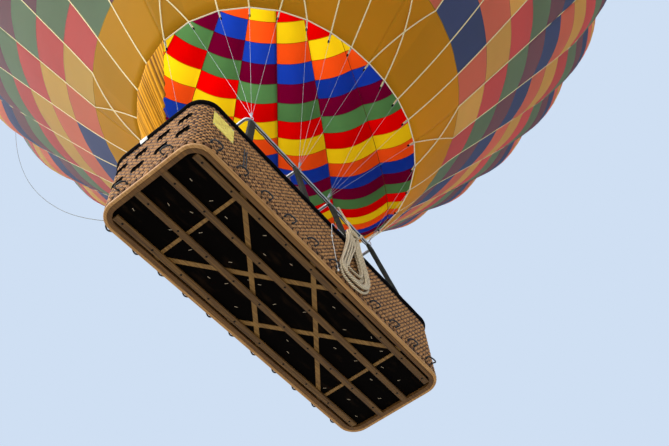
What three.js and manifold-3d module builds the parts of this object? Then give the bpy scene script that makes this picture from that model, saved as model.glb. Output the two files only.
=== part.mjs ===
// Hot air balloon for a large ride basket: envelope, flying wires, load frame, burner, basket.
// Millimetres, +Z up. The origin is the centre of the basket's underside, +X runs along the basket.
// The wall with the placard faces -Y, and both end walls have step holes.
import * as THREE from 'three';
import { mergeVertices } from 'three/addons/utils/BufferGeometryUtils.js';
import Module from 'manifold-3d';

const wasm = await Module();
wasm.setup();

// Gap between pieces that touch
const gap = 0.3;

// Basket
const basketLength = 5200;
const basketWidth = 1700;
const basketCorner = 280;
const cornerSteps = 5;
const wallThickness = 40;
const wallTop = 1150;
const rimRadius = 50;
const baseFrameHeight = 100;
const baseFrameWidth = 110;
const runnerHeight = 40;
const runnerWidth = 90;
const runnerPlaces = [-660, -220, 220, 660];
const strapThickness = 12;
const battenWidth = 50;
const battenPlace = 1670;
const diagonalWidth = 65;
const diagonalInnerEnd = 320;
const floorThickness = 18;
const partitionThickness = 30;
const partitionTop = 1100;
const pilotHalfLength = 550;
const stepHole = { width: 190, height: 100 };
const stepHolePlaces = [
  { y: -560, z: 500 },
  { y: -200, z: 500 },
  { y: 200, z: 500 },
  { y: 560, z: 500 },
  { y: -560, z: 860 },
  { y: -200, z: 860 },
  { y: 200, z: 860 },
  { y: 560, z: 860 },
];
const placard = { x: -2200, z: 860, width: 370, height: 360, thickness: 3 };

// Fuel cylinders in the pilot's compartment
const cylinderRadius = 175;
const cylinderPlaces = [
  { x: -330, y: -600 },
  { x: 330, y: -600 },
  { x: -330, y: 600 },
  { x: 330, y: 600 },
];

// Load frame and the padded uprights that carry it
const frameHeight = 2500;
const frameTube = 25;
const frameHalfLength = 1560;
const frameHalfWidth = 640;
const frameCorner = 80;
const crossTubePlace = 400;
const uprightSize = { along: 130, across: 70, chamfer: 24 };
const uprights = [
  { name: 'upright_corner_1', footX: -1720, topX: -1460, side: -1 },
  { name: 'upright_corner_2', footX: 1720, topX: 1460, side: -1 },
  { name: 'upright_corner_3', footX: -1720, topX: -1460, side: 1 },
  { name: 'upright_corner_4', footX: 1720, topX: 1460, side: 1 },
  { name: 'upright_middle_1', footX: -480, topX: -440, side: -1 },
  { name: 'upright_middle_2', footX: 480, topX: 440, side: -1 },
  { name: 'upright_middle_3', footX: -480, topX: -440, side: 1 },
  { name: 'upright_middle_4', footX: 480, topX: 440, side: 1 },
];

// Burner in its gimbal, in the frame's middle bay
const gimbalHalf = 310;
const gimbalTube = 15;
const gimbalPin = 12;
const burnerBlockHalf = 250;
const burnerBlockHeight = 60;
const burnerCan = { radius: 130, wall: 12, height: 520, place: 140, base: 25 };

// Envelope: the wall's outline from the mouth up, as stretches of steady curvature.
// angle is the wall's angle at the stretch's end, from horizontal, in degrees.
const goreCount = 32;
const firstTapeAngle = -95.5;
const mouthRadius = 2475;
const mouthHeight = 4805;
const mouthAngle = 51.18;
const wallStretches = [
  { length: 1759, angle: 56, steps: 1 },
  { length: 9200, angle: 56.5, steps: 2 },
  { length: 6400, angle: 64.5, steps: 2 },
  { length: 6400, angle: 87, steps: 2 },
  { length: 6400, angle: 119.5, steps: 2 },
  { length: 10100, angle: 179, steps: 3 },
];
const shellThickness = 10;
const bulgeShare = 0.027;
const bulgeStart = 1860;
const mouthOval = 0.113;
const mouthOvalTurn = -5.75;
const ovalReach = 3400;
const goreFacets = 3;
const goresPerSector = 4;
const hemSize = 24;
const scoopTapes = { first: 14, last: 24 };
const scoopDepth = 2000;
const scoopEndDepth = 40;
const scoopTurnPerTape = 33;
const scoopFoot = { height: 2610, radius: 1690 };
const scoopTuck = 5;

// Crown: straps over the vent hole, and the valve that closes it from below
const crownRingRadius = 220;
const crownRingSize = 30;
const crownRise = 110;
const crownStrapWidth = 32;
const valveRadius = 4100;
const valveFlatRadius = 3500;
const valveDrop = 15;
const valveRise = 60;

// Flying wires
const wireRadius = 5;
const shackle = { along: 44, across: 24, height: 110 };
const shackleX = [1480, 360];

// Crown line: from the crown ring along a tape, then hanging free to the rim
const crownLineRadius = 6;
const crownLineSteps = 72;
const crownLineRoute = [
  [-25, 250, 36810],
  [-190, 1890, 36755],
  [-360, 3585, 36695],
  [-690, 6860, 36060],
  [-980, 9730, 34345],
  [-1195, 11850, 31750],
  [-1310, 13010, 28780],
  [-1340, 13290, 25600],
  [-1290, 12815, 22435],
  [-1180, 11735, 19430],
  [-1245, 10105, 15625],
  [-1305, 8480, 12195],
  [-1370, 6855, 9145],
  [-1435, 5225, 6475],
  [-1485, 3820, 4465],
  [-1535, 2515, 2865],
  [-1575, 1540, 1820],
  [-1600, 960, 1210],
  [-1600, 881, 1200],
];

// Handling rope: a hank that hangs outside the rim, and its tail up to the load frame
const handlingRopeRadius = 12;
const hankThickness = 60;
const hankOutlineSteps = 40;
const hankOutline = [
  { x: 500, z: 1510 },
  { x: 415, z: 1430 },
  { x: 330, z: 1120 },
  { x: 180, z: 620 },
  { x: 75, z: 260 },
  { x: 130, z: 75 },
  { x: 340, z: 25 },
  { x: 570, z: 90 },
  { x: 745, z: 330 },
  { x: 740, z: 640 },
  { x: 655, z: 1100 },
  { x: 590, z: 1430 },
];
const hankTailSteps = 24;
const hankTailRoute = [
  [500, -910, 1510.5],
  [500, -908, 1560],
  [502, -893, 1650],
  [515, -830, 1950],
  [545, -745, 2300],
  [555, -715, 2450],
  [560, -702, 2485],
  [560, -686, 2498],
  [560, -668, 2500],
];

const colours = {
  wicker: 0xa57d5a,
  base: 0xc9925e,
  runner: 0x69462a,
  strap: 0xa57d50,
  floor: 0x16100a,
  suede: 0x121012,
  placard: 0xe2cf5a,
  cylinder: 0x9a9c9e,
  steel: 0xb9bcc0,
  dark: 0x24241f,
  nylon: [0xc8913a, 0xb45c4e, 0xc3a050, 0xa54b50, 0x5f7555, 0x6e5050, 0x484860],
  hem: 0xe8dcb4,
  tape: 0xe9d9a6,
  rope: 0xd8cdb4,
};

const balloon = new THREE.Group();

function addPiece(name, geometry, colour, roughness = 0.8, metalness = 0) {
  const material = new THREE.MeshStandardMaterial({ color: colour, roughness, metalness });
  const piece = new THREE.Mesh(geometry, material);
  piece.name = name;
  balloon.add(piece);
  return piece;
}

// Builds a closed body from points and triangles, and turns its faces out.
function closedBody(points, triangles) {
  let volume = 0;
  for (const [a, b, c] of triangles) {
    volume += points[a].dot(new THREE.Vector3().crossVectors(points[b], points[c]));
  }
  const order = volume > 0 ? triangles : triangles.map(([a, b, c]) => [a, c, b]);
  const geometry = new THREE.BufferGeometry();
  geometry.setFromPoints(points);
  geometry.setIndex(order.flat());
  geometry.computeVertexNormals();
  return geometry;
}

// Joins rings of points, each a convex outline, into a body with both ends closed.
function loft(rings) {
  const count = rings[0].length;
  const triangles = [];
  for (let ring = 0; ring < rings.length - 1; ring += 1) {
    for (let side = 0; side < count; side += 1) {
      const next = (side + 1) % count;
      const low = ring * count;
      const high = low + count;
      triangles.push([low + side, low + next, high + next]);
      triangles.push([low + side, high + next, high + side]);
    }
  }
  const last = (rings.length - 1) * count;
  for (let side = 1; side < count - 1; side += 1) {
    triangles.push([0, side + 1, side]);
    triangles.push([last, last + side, last + side + 1]);
  }
  return closedBody(rings.flat(), triangles);
}

// Carries a section round a closed path. The path's points have an outward direction nx, ny,
// and the section's points have a distance out and a height up.
function sweptLoop(path, section) {
  const points = [];
  const triangles = [];
  for (const { x, y, nx, ny } of path) {
    for (const { out, up } of section) {
      points.push(new THREE.Vector3(x + nx * out, y + ny * out, up));
    }
  }
  for (let step = 0; step < path.length; step += 1) {
    const here = step * section.length;
    const there = ((step + 1) % path.length) * section.length;
    for (let side = 0; side < section.length; side += 1) {
      const next = (side + 1) % section.length;
      triangles.push([here + side, there + side, there + next]);
      triangles.push([here + side, there + next, here + next]);
    }
  }
  return closedBody(points, triangles);
}

// Round-cornered rectangle as path points with outward directions
function roundedPath(halfX, halfY, radius, steps) {
  const path = [];
  const corners = [
    { x: halfX - radius, y: halfY - radius, start: 0 },
    { x: radius - halfX, y: halfY - radius, start: 90 },
    { x: radius - halfX, y: radius - halfY, start: 180 },
    { x: halfX - radius, y: radius - halfY, start: 270 },
  ];
  for (const corner of corners) {
    for (let step = 0; step <= steps; step += 1) {
      const angle = THREE.MathUtils.degToRad(corner.start + (90 * step) / steps);
      const nx = Math.cos(angle);
      const ny = Math.sin(angle);
      path.push({ x: corner.x + radius * nx, y: corner.y + radius * ny, nx, ny });
    }
  }
  return path;
}

// Eight-sided section with flats at the top, the bottom and both sides
function tubeSection(radius, height) {
  const section = [];
  const reach = radius / Math.cos(Math.PI / 8);
  for (let side = 0; side < 8; side += 1) {
    const angle = (side + 0.5) * (Math.PI / 4);
    section.push({ out: reach * Math.cos(angle), up: height + reach * Math.sin(angle) });
  }
  return section;
}

function boxBetween(x0, x1, y0, y1, z0, z1) {
  const box = new THREE.BoxGeometry(x1 - x0, y1 - y0, z1 - z0);
  box.translate((x0 + x1) / 2, (y0 + y1) / 2, (z0 + z1) / 2);
  return box;
}

// Straight bar with a regular section between two points
function bar(from, to, radius, sides) {
  const direction = new THREE.Vector3().subVectors(to, from).normalize();
  const turn = new THREE.Quaternion().setFromUnitVectors(new THREE.Vector3(0, 0, 1), direction);
  const reach = radius / Math.cos(Math.PI / sides);
  const rings = [from, to].map((centre) => {
    const ring = [];
    for (let side = 0; side < sides; side += 1) {
      const angle = ((side + 0.5) * 2 * Math.PI) / sides;
      const offset = new THREE.Vector3(reach * Math.cos(angle), reach * Math.sin(angle), 0);
      ring.push(offset.applyQuaternion(turn).add(centre));
    }
    return ring;
  });
  return loft(rings);
}

function shapeFrom(path) {
  return new THREE.Shape(path.map(({ x, y }) => new THREE.Vector2(x, y)));
}

function solid(geometry) {
  const plain = geometry.clone();
  plain.deleteAttribute('normal');
  plain.deleteAttribute('uv');
  const merged = mergeVertices(plain, 0.001);
  const vertProperties = new Float32Array(merged.attributes.position.array);
  const triVerts = new Uint32Array(merged.index.array);
  return new wasm.Manifold(new wasm.Mesh({ numProp: 3, vertProperties, triVerts }));
}

function geometryOf(manifold) {
  const mesh = manifold.getMesh();
  const geometry = new THREE.BufferGeometry();
  geometry.setAttribute('position', new THREE.BufferAttribute(mesh.vertProperties, 3));
  geometry.setIndex(new THREE.BufferAttribute(mesh.triVerts, 1));
  geometry.computeVertexNormals();
  return geometry;
}

function joined(geometries) {
  return geometries.map(solid).reduce((sum, next) => sum.add(next));
}

// Basket: base frame, runners, underfloor straps and floor
const halfLength = basketLength / 2;
const halfWidth = basketWidth / 2;
const outerPath = roundedPath(halfLength, halfWidth, basketCorner, cornerSteps);
const frameInnerX = halfLength - baseFrameWidth;
const frameInnerY = halfWidth - baseFrameWidth;
const frameInnerCorner = basketCorner - baseFrameWidth;

function buildBaseFrame() {
  const shape = shapeFrom(outerPath);
  shape.holes.push(shapeFrom(roundedPath(frameInnerX, frameInnerY, frameInnerCorner, cornerSteps)));
  const settings = { depth: baseFrameHeight, bevelEnabled: false };
  addPiece('base_frame', new THREE.ExtrudeGeometry(shape, settings), colours.base, 0.6);
}

function insideFrame(bottom, thickness) {
  const clear = gap;
  const path = roundedPath(frameInnerX - clear, frameInnerY - clear, frameInnerCorner - clear, cornerSteps);
  const shape = new THREE.ExtrudeGeometry(shapeFrom(path), { depth: thickness, bevelEnabled: false });
  shape.translate(0, 0, bottom);
  return shape;
}

function buildRunners() {
  runnerPlaces.forEach((place, index) => {
    const half = runnerWidth / 2;
    // The outer runners stop short of the frame's rounded corners.
    const intoCorner = Math.max(0, Math.abs(place) + half - (frameInnerY - frameInnerCorner));
    const cornerCut = frameInnerCorner - Math.sqrt(frameInnerCorner ** 2 - intoCorner ** 2);
    const end = frameInnerX - cornerCut - (intoCorner > 0 ? 10 * gap : gap);
    const runner = boxBetween(-end, end, place - half, place + half, 0, runnerHeight);
    addPiece(`runner_${index + 1}`, runner, colours.runner);
  });
}

const strapBottom = runnerHeight + gap;
const floorBottom = strapBottom + strapThickness + gap;
const floorTop = floorBottom + floorThickness;

function strapBetween(fromX, fromY, toX, toY, width) {
  const length = Math.hypot(toX - fromX, toY - fromY);
  const strap = new THREE.BoxGeometry(length, width, strapThickness);
  strap.rotateZ(Math.atan2(toY - fromY, toX - fromX));
  strap.translate((fromX + toX) / 2, (fromY + toY) / 2, strapBottom + strapThickness / 2);
  return strap;
}

function buildStraps() {
  const straps = [];
  for (const end of [-1, 1]) {
    const outer = end * battenPlace;
    const inner = -end * diagonalInnerEnd;
    straps.push(strapBetween(outer, -halfWidth, outer, halfWidth, battenWidth));
    straps.push(strapBetween(outer, -frameInnerY, inner, frameInnerY, diagonalWidth));
    straps.push(strapBetween(outer, frameInnerY, inner, -frameInnerY, diagonalWidth));
  }
  const room = solid(insideFrame(strapBottom, strapThickness));
  addPiece('underfloor_straps', geometryOf(joined(straps).intersect(room)), colours.strap);
}

function buildFloor() {
  addPiece('floor_board', insideFrame(floorBottom, floorThickness), colours.floor, 0.7);
}

// Wicker walls: two long ones, and two end ones with the rounded corners and the step holes
const wallBottom = baseFrameHeight + gap;
const wallHeight = wallTop - gap - wallBottom;
const wallJoint = halfLength - basketCorner;

function buildLongWalls() {
  const reach = wallJoint - gap / 2;
  const front = boxBetween(-reach, reach, -halfWidth, wallThickness - halfWidth, wallBottom, wallTop - gap);
  const back = boxBetween(-reach, reach, halfWidth - wallThickness, halfWidth, wallBottom, wallTop - gap);
  addPiece('wicker_wall_front', front, colours.wicker, 0.9);
  addPiece('wicker_wall_back', back, colours.wicker, 0.9);
}

function endWallOutline(end) {
  const start = wallJoint + gap / 2;
  const innerCorner = basketCorner - wallThickness;
  const centreY = halfWidth - basketCorner;
  const shape = new THREE.Shape();
  shape.moveTo(start, -halfWidth);
  for (const turn of [-1, 1]) {
    for (let step = 0; step <= cornerSteps; step += 1) {
      const part = turn < 0 ? step / cornerSteps - 1 : step / cornerSteps;
      const angle = (part * Math.PI) / 2;
      const x = wallJoint + basketCorner * Math.cos(angle);
      const y = turn * centreY + basketCorner * Math.sin(angle);
      if (x > start) shape.lineTo(x, y);
    }
  }
  shape.lineTo(start, halfWidth);
  shape.lineTo(start, halfWidth - wallThickness);
  for (const turn of [1, -1]) {
    for (let step = 0; step <= cornerSteps; step += 1) {
      const part = turn > 0 ? 1 - step / cornerSteps : -step / cornerSteps;
      const angle = (part * Math.PI) / 2;
      const x = wallJoint + innerCorner * Math.cos(angle);
      const y = turn * centreY + innerCorner * Math.sin(angle);
      if (x > start) shape.lineTo(x, y);
    }
  }
  shape.lineTo(start, wallThickness - halfWidth);
  const wall = new THREE.ExtrudeGeometry(shape, { depth: wallHeight, bevelEnabled: false });
  wall.translate(0, 0, wallBottom);
  if (end < 0) wall.rotateZ(Math.PI);
  return wall;
}

function buildEndWalls() {
  for (const { name, end } of [{ name: 'wicker_wall_left', end: -1 }, { name: 'wicker_wall_right', end: 1 }]) {
    let wall = solid(endWallOutline(end));
    for (const { y, z } of stepHolePlaces) {
      const inner = halfLength - 2 * wallThickness;
      const outer = halfLength + wallThickness;
      const hole = boxBetween(
        Math.min(end * inner, end * outer),
        Math.max(end * inner, end * outer),
        y - stepHole.width / 2,
        y + stepHole.width / 2,
        z - stepHole.height / 2,
        z + stepHole.height / 2,
      );
      wall = wall.subtract(solid(hole));
    }
    addPiece(name, geometryOf(wall), colours.wicker, 0.9);
  }
}

function buildRim() {
  const inset = wallThickness / 2;
  const path = roundedPath(halfLength - inset, halfWidth - inset, basketCorner - inset, cornerSteps);
  const rim = sweptLoop(path, tubeSection(rimRadius, wallTop + rimRadius));
  addPiece('padded_rim', rim, colours.suede, 0.85);
}

// Partitions stand on the floor and step over the base frame where they meet a wall.
const innerWall = halfWidth - wallThickness - gap;

function buildPartitions() {
  const ledge = baseFrameHeight + gap;
  const foot = floorTop + gap;
  for (const end of [-1, 1]) {
    const outline = new THREE.Shape();
    outline.moveTo(-(frameInnerY - gap), foot);
    outline.lineTo(frameInnerY - gap, foot);
    outline.lineTo(frameInnerY - gap, ledge);
    outline.lineTo(innerWall, ledge);
    outline.lineTo(innerWall, partitionTop);
    outline.lineTo(-innerWall, partitionTop);
    outline.lineTo(-innerWall, ledge);
    outline.lineTo(-(frameInnerY - gap), ledge);
    const across = new THREE.ExtrudeGeometry(outline, { depth: partitionThickness, bevelEnabled: false });
    across.rotateX(Math.PI / 2);
    across.rotateZ(Math.PI / 2);
    across.translate(end * pilotHalfLength - partitionThickness / 2, 0, 0);
    const number = end < 0 ? 1 : 2;
    addPiece(`partition_across_${number}`, across, colours.wicker, 0.9);

    const start = pilotHalfLength + partitionThickness / 2 + gap;
    const along = new THREE.Shape();
    along.moveTo(start, foot);
    along.lineTo(frameInnerX - gap, foot);
    along.lineTo(frameInnerX - gap, ledge);
    along.lineTo(halfLength - wallThickness - gap, ledge);
    along.lineTo(halfLength - wallThickness - gap, partitionTop);
    along.lineTo(start, partitionTop);
    const lengthwise = new THREE.ExtrudeGeometry(along, { depth: partitionThickness, bevelEnabled: false });
    lengthwise.rotateX(Math.PI / 2);
    lengthwise.translate(0, partitionThickness / 2, 0);
    if (end < 0) lengthwise.rotateZ(Math.PI);
    addPiece(`partition_along_${number}`, lengthwise, colours.wicker, 0.9);
  }
}

function buildPlacard() {
  const { x, z, width, height, thickness } = placard;
  const face = -halfWidth - gap;
  const plate = boxBetween(x - width / 2, x + width / 2, face - thickness, face, z - height / 2, z + height / 2);
  addPiece('placard', plate, colours.placard, 0.5);
}

// Fuel cylinders: foot ring, body, domed top and collar
function buildCylinders() {
  const profile = [
    [0, 0],
    [120, 0],
    [130, 60],
    [cylinderRadius, 130],
    [cylinderRadius, 780],
    [130, 860],
    [90, 880],
    [90, 980],
    [0, 980],
  ].map(([radius, height]) => new THREE.Vector2(radius, height));
  cylinderPlaces.forEach(({ x, y }, index) => {
    const cylinder = new THREE.LatheGeometry(profile, 12);
    cylinder.rotateX(Math.PI / 2);
    cylinder.translate(x, y, floorTop + gap);
    addPiece(`fuel_cylinder_${index + 1}`, cylinder, colours.cylinder, 0.35, 0.7);
  });
}

// Load frame: a round-cornered loop of tube with two cross tubes
function buildLoadFrame() {
  const path = roundedPath(frameHalfLength, frameHalfWidth, frameCorner, 3);
  const tubes = [sweptLoop(path, tubeSection(frameTube, frameHeight))];
  for (const end of [-1, 1]) {
    const from = new THREE.Vector3(end * crossTubePlace, -frameHalfWidth, frameHeight);
    const to = new THREE.Vector3(end * crossTubePlace, frameHalfWidth, frameHeight);
    tubes.push(bar(from, to, frameTube, 8));
  }
  addPiece('load_frame', geometryOf(joined(tubes)), colours.steel, 0.35, 0.8);
}

// Each upright is a padded sleeve from the rim's top to the frame's underside.
function sleeveRing(x, y, z) {
  const { along, across, chamfer } = uprightSize;
  const a = along / 2;
  const b = across / 2;
  const outline = [
    [a, b - chamfer],
    [a - chamfer, b],
    [chamfer - a, b],
    [-a, b - chamfer],
    [-a, chamfer - b],
    [chamfer - a, -b],
    [a - chamfer, -b],
    [a, chamfer - b],
  ];
  return outline.map(([dx, dy]) => new THREE.Vector3(x + dx, y + dy, z));
}

function buildUprights() {
  const footY = halfWidth - wallThickness / 2;
  for (const { name, footX, topX, side } of uprights) {
    const foot = sleeveRing(footX, side * footY, wallTop + 2 * rimRadius + gap);
    const top = sleeveRing(topX, side * frameHalfWidth, frameHeight - frameTube - gap);
    addPiece(name, loft([foot, top]), colours.suede, 0.85);
  }
}

// Gimbal ring, hung on pins between the cross tubes, and the burner hung on pins inside it
function buildGimbal() {
  const path = roundedPath(gimbalHalf, gimbalHalf, 60, 3);
  const pieces = [sweptLoop(path, tubeSection(gimbalTube, frameHeight))];
  for (const end of [-1, 1]) {
    const from = new THREE.Vector3(end * gimbalHalf, 0, frameHeight);
    const to = new THREE.Vector3(end * (crossTubePlace - frameTube - gap), 0, frameHeight);
    pieces.push(bar(from, to, gimbalPin, 8));
  }
  addPiece('gimbal_ring', geometryOf(joined(pieces)), colours.steel, 0.35, 0.8);
}

function buildBurner() {
  const half = burnerBlockHeight / 2;
  const reach = burnerBlockHalf;
  const pieces = [boxBetween(-reach, reach, -reach, reach, frameHeight - half, frameHeight + half)];
  for (const end of [-1, 1]) {
    const from = new THREE.Vector3(0, end * (reach - half), frameHeight);
    const to = new THREE.Vector3(0, end * (gimbalHalf - gimbalTube - gap), frameHeight);
    pieces.push(bar(from, to, gimbalPin, 8));
  }
  addPiece('burner_block', geometryOf(joined(pieces)), colours.dark, 0.5, 0.5);

  const { radius, wall, height, place, base } = burnerCan;
  const profile = [
    [0, 0],
    [radius, 0],
    [radius, height],
    [radius - wall, height],
    [radius - wall, base],
    [0, base],
  ].map(([r, h]) => new THREE.Vector2(r, h));
  let number = 1;
  for (const x of [-place, place]) {
    for (const y of [-place, place]) {
      const can = new THREE.LatheGeometry(profile, 16);
      can.rotateX(Math.PI / 2);
      can.translate(x, y, frameHeight + half + gap);
      addPiece(`burner_can_${number}`, can, colours.steel, 0.3, 0.9);
      number += 1;
    }
  }
}

// Envelope wall: stations up the wall, each with its radius, height, angle and length from the mouth
function wallStations() {
  const stations = [{ s: 0, r: mouthRadius, z: mouthHeight, angle: THREE.MathUtils.degToRad(mouthAngle) }];
  for (const { length, angle, steps } of wallStretches) {
    const start = stations[stations.length - 1];
    const turn = THREE.MathUtils.degToRad(angle) - start.angle;
    for (let step = 1; step <= steps; step += 1) {
      const part = step / steps;
      const end = start.angle + turn * part;
      const bend = turn / length;
      stations.push({
        s: start.s + length * part,
        r: start.r + (Math.sin(end) - Math.sin(start.angle)) / bend,
        z: start.z + (Math.cos(start.angle) - Math.cos(end)) / bend,
        angle: end,
      });
    }
  }
  return stations;
}

const stations = wallStations();

function tapeAngle(tape) {
  return THREE.MathUtils.degToRad(firstTapeAngle + (360 / goreCount) * tape);
}

// The wires draw the mouth into an oval, nearly along the basket, which fades out up the wall.
function ovalFactor(s, azimuth) {
  const fade = Math.max(0, 1 - s / ovalReach) ** 2;
  return 1 + mouthOval * fade * Math.cos(2 * (azimuth - THREE.MathUtils.degToRad(mouthOvalTurn)));
}

function outwardAt(station, azimuth) {
  const out = Math.sin(station.angle);
  return new THREE.Vector3(out * Math.cos(azimuth), out * Math.sin(azimuth), -Math.cos(station.angle));
}

// Point on the wall at a tape number, which may lie between tapes, at a depth below the outer face
function wallPoint(station, tape, depth = 0) {
  const low = Math.floor(tape);
  const part = tape - low;
  const ends = [low, low + 1].map((index) => {
    const azimuth = tapeAngle(index);
    const radius = station.r * ovalFactor(station.s, azimuth);
    return new THREE.Vector3(radius * Math.cos(azimuth), radius * Math.sin(azimuth), station.z);
  });
  const swell = bulgeShare * station.r * Math.min(1, station.s / bulgeStart) * Math.sin(Math.PI * part);
  const outward = outwardAt(station, tapeAngle(tape));
  return ends[0].lerp(ends[1], part).addScaledVector(outward, swell - depth);
}

// Closed shell from a grid of outer points and a grid of inner points
function shellBody(outer, inner) {
  const rows = outer.length;
  const columns = outer[0].length;
  const points = [...outer.flat(), ...inner.flat()];
  const layer = rows * columns;
  const triangles = [];
  const quad = (a, b, c, d) => triangles.push([a, b, c], [a, c, d]);
  for (let row = 0; row < rows - 1; row += 1) {
    for (let column = 0; column < columns - 1; column += 1) {
      const a = row * columns + column;
      const b = a + 1;
      const c = b + columns;
      const d = a + columns;
      quad(a, b, c, d);
      quad(layer + a, layer + d, layer + c, layer + b);
    }
  }
  for (let row = 0; row < rows - 1; row += 1) {
    const left = row * columns;
    const right = left + columns - 1;
    quad(left, left + columns, layer + left + columns, layer + left);
    quad(right, layer + right, layer + right + columns, right + columns);
  }
  const top = (rows - 1) * columns;
  for (let column = 0; column < columns - 1; column += 1) {
    quad(column, layer + column, layer + column + 1, column + 1);
    quad(top + column, top + column + 1, layer + top + column + 1, layer + top + column);
  }
  return closedBody(points, triangles);
}

function buildEnvelope() {
  const sectors = goreCount / goresPerSector;
  const columns = goresPerSector * goreFacets;
  for (let sector = 0; sector < sectors; sector += 1) {
    const firstTape = sector * goresPerSector;
    const grid = (depth) => stations.map((station) => {
      const row = [];
      for (let column = 0; column <= columns; column += 1) {
        const tape = firstTape + column / goreFacets;
        const azimuth = tapeAngle(tape);
        const inward = column === 0 ? 1 : column === columns ? -1 : 0;
        const aside = new THREE.Vector3(-Math.sin(azimuth), Math.cos(azimuth), 0);
        row.push(wallPoint(station, tape, depth).addScaledVector(aside, inward * gap / 2));
      }
      return row;
    });
    const shell = shellBody(grid(0), grid(shellThickness));
    addPiece(`envelope_sector_${sector + 1}`, shell, colours.nylon[sector % 7], 0.75);
  }
}

function mouthPath() {
  const path = [];
  for (let tape = 0; tape < goreCount; tape += 1) {
    const azimuth = tapeAngle(tape);
    const { x, y } = wallPoint(stations[0], tape);
    path.push({ x, y, nx: Math.cos(azimuth), ny: Math.sin(azimuth) });
  }
  return path;
}

const hemTop = mouthHeight - gap;
const hemOut = hemSize / 2;

function buildHem() {
  const section = [
    { out: hemOut, up: hemTop },
    { out: -hemOut, up: hemTop },
    { out: -hemOut, up: hemTop - hemSize },
    { out: hemOut, up: hemTop - hemSize },
  ];
  addPiece('mouth_hem', sweptLoop(mouthPath(), section), colours.hem);
}

// Scoop: a cloth apron that hangs from the hem round one side of the mouth, outside the wires.
// It deepens from both its ends and leans in with the wires.
function scoopDrop(tape) {
  const fromEnd = Math.min(tape - scoopTapes.first, scoopTapes.last - tape);
  const turn = Math.min(90, fromEnd * scoopTurnPerTape);
  return Math.max(scoopEndDepth, scoopDepth * Math.sin(THREE.MathUtils.degToRad(turn)));
}

function buildScoop() {
  const path = mouthPath();
  const clip = hemTop - hemSize - scoopTuck;
  const rows = [
    { share: 1, rise: 0 },
    { share: 0.5, rise: 0 },
    { share: 0, rise: 0 },
    { share: 0, rise: hemSize },
  ];
  const grid = (depth) => rows.map(({ share, rise }) => {
    const row = [];
    for (let tape = scoopTapes.first; tape <= scoopTapes.last; tape += 1) {
      const { x, y, nx, ny } = path[tape];
      const drop = share * scoopDrop(tape);
      const radius = Math.hypot(x, y) + hemOut + 2 * gap + shellThickness;
      const leanIn = ((radius - scoopFoot.radius) * drop) / (clip - scoopFoot.height);
      const here = radius - leanIn - depth;
      row.push(new THREE.Vector3(here * nx, here * ny, clip - drop + rise));
    }
    return row;
  });
  addPiece('scoop', shellBody(grid(0), grid(shellThickness)), colours.nylon[0], 0.75);
}

// Crown: ring and straps that lie over the vent hole
const holeEdge = stations[stations.length - 1];

function buildCrown() {
  const ringHeight = holeEdge.z + crownRise;
  const ringPath = [];
  for (let tape = 0; tape < goreCount; tape += 1) {
    const azimuth = tapeAngle(tape);
    const nx = Math.cos(azimuth);
    const ny = Math.sin(azimuth);
    ringPath.push({ x: crownRingRadius * nx, y: crownRingRadius * ny, nx, ny });
  }
  const half = crownRingSize / 2;
  const section = [
    { out: half, up: ringHeight + half },
    { out: -half, up: ringHeight + half },
    { out: -half, up: ringHeight - half },
    { out: half, up: ringHeight - half },
  ];
  const pieces = [sweptLoop(ringPath, section)];
  for (let tape = 0; tape < goreCount; tape += 1) {
    const azimuth = tapeAngle(tape);
    // The hole's edge turns inward beside a tape, and its face leans inward below.
    const turnIn = (crownStrapWidth / 2) * Math.sin(Math.PI / goreCount);
    const leanIn = shellThickness * Math.sin(holeEdge.angle);
    const end = holeEdge.r - turnIn - leanIn - gap;
    const ring = (radius, top) => [
      [-1, top],
      [1, top],
      [1, top - shellThickness],
      [-1, top - shellThickness],
    ].map(([side, height]) => {
      const point = new THREE.Vector3(radius, (side * crownStrapWidth) / 2, height);
      return point.applyAxisAngle(new THREE.Vector3(0, 0, 1), azimuth);
    });
    pieces.push(loft([ring(crownRingRadius, ringHeight + shellThickness / 2), ring(end, holeEdge.z)]));
  }
  addPiece('crown_straps', geometryOf(joined(pieces)), colours.tape);
}

// Vent valve: a disc that lies against the wall's inside round the vent hole
function buildValve() {
  const edge = wallPoint(holeEdge, 0, shellThickness + gap);
  const below = wallPoint(stations[stations.length - 2], 0, shellThickness + gap);
  const edgeRadius = Math.hypot(edge.x, edge.y);
  const belowRadius = Math.hypot(below.x, below.y);
  const slope = (edge.z - below.z) / (edgeRadius - belowRadius);
  const profile = [
    { r: valveRadius, z: edge.z + slope * (valveRadius - edgeRadius) },
    { r: edgeRadius, z: edge.z },
    { r: valveFlatRadius, z: edge.z - valveDrop },
  ];
  const points = [];
  for (const drop of [0, shellThickness]) {
    for (const { r, z } of profile) {
      for (let tape = 0; tape < goreCount; tape += 1) {
        const azimuth = tapeAngle(tape);
        points.push(new THREE.Vector3(r * Math.cos(azimuth), r * Math.sin(azimuth), z - drop));
      }
    }
    points.push(new THREE.Vector3(0, 0, edge.z + valveRise - drop));
  }
  const layer = profile.length * goreCount + 1;
  const centre = layer - 1;
  const triangles = [];
  for (let tape = 0; tape < goreCount; tape += 1) {
    const next = (tape + 1) % goreCount;
    for (const base of [0, layer]) {
      const flip = base > 0;
      const add = (a, b, c) => triangles.push(flip ? [base + a, base + c, base + b] : [base + a, base + b, base + c]);
      for (let ring = 0; ring < profile.length - 1; ring += 1) {
        const outer = ring * goreCount;
        const inner = outer + goreCount;
        add(outer + tape, outer + next, inner + next);
        add(outer + tape, inner + next, inner + tape);
      }
      const last = (profile.length - 1) * goreCount;
      add(last + tape, last + next, centre);
    }
    triangles.push([tape, layer + tape, layer + next], [tape, layer + next, next]);
  }
  addPiece('vent_valve', closedBody(points, triangles), colours.nylon[0], 0.75);
}

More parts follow.
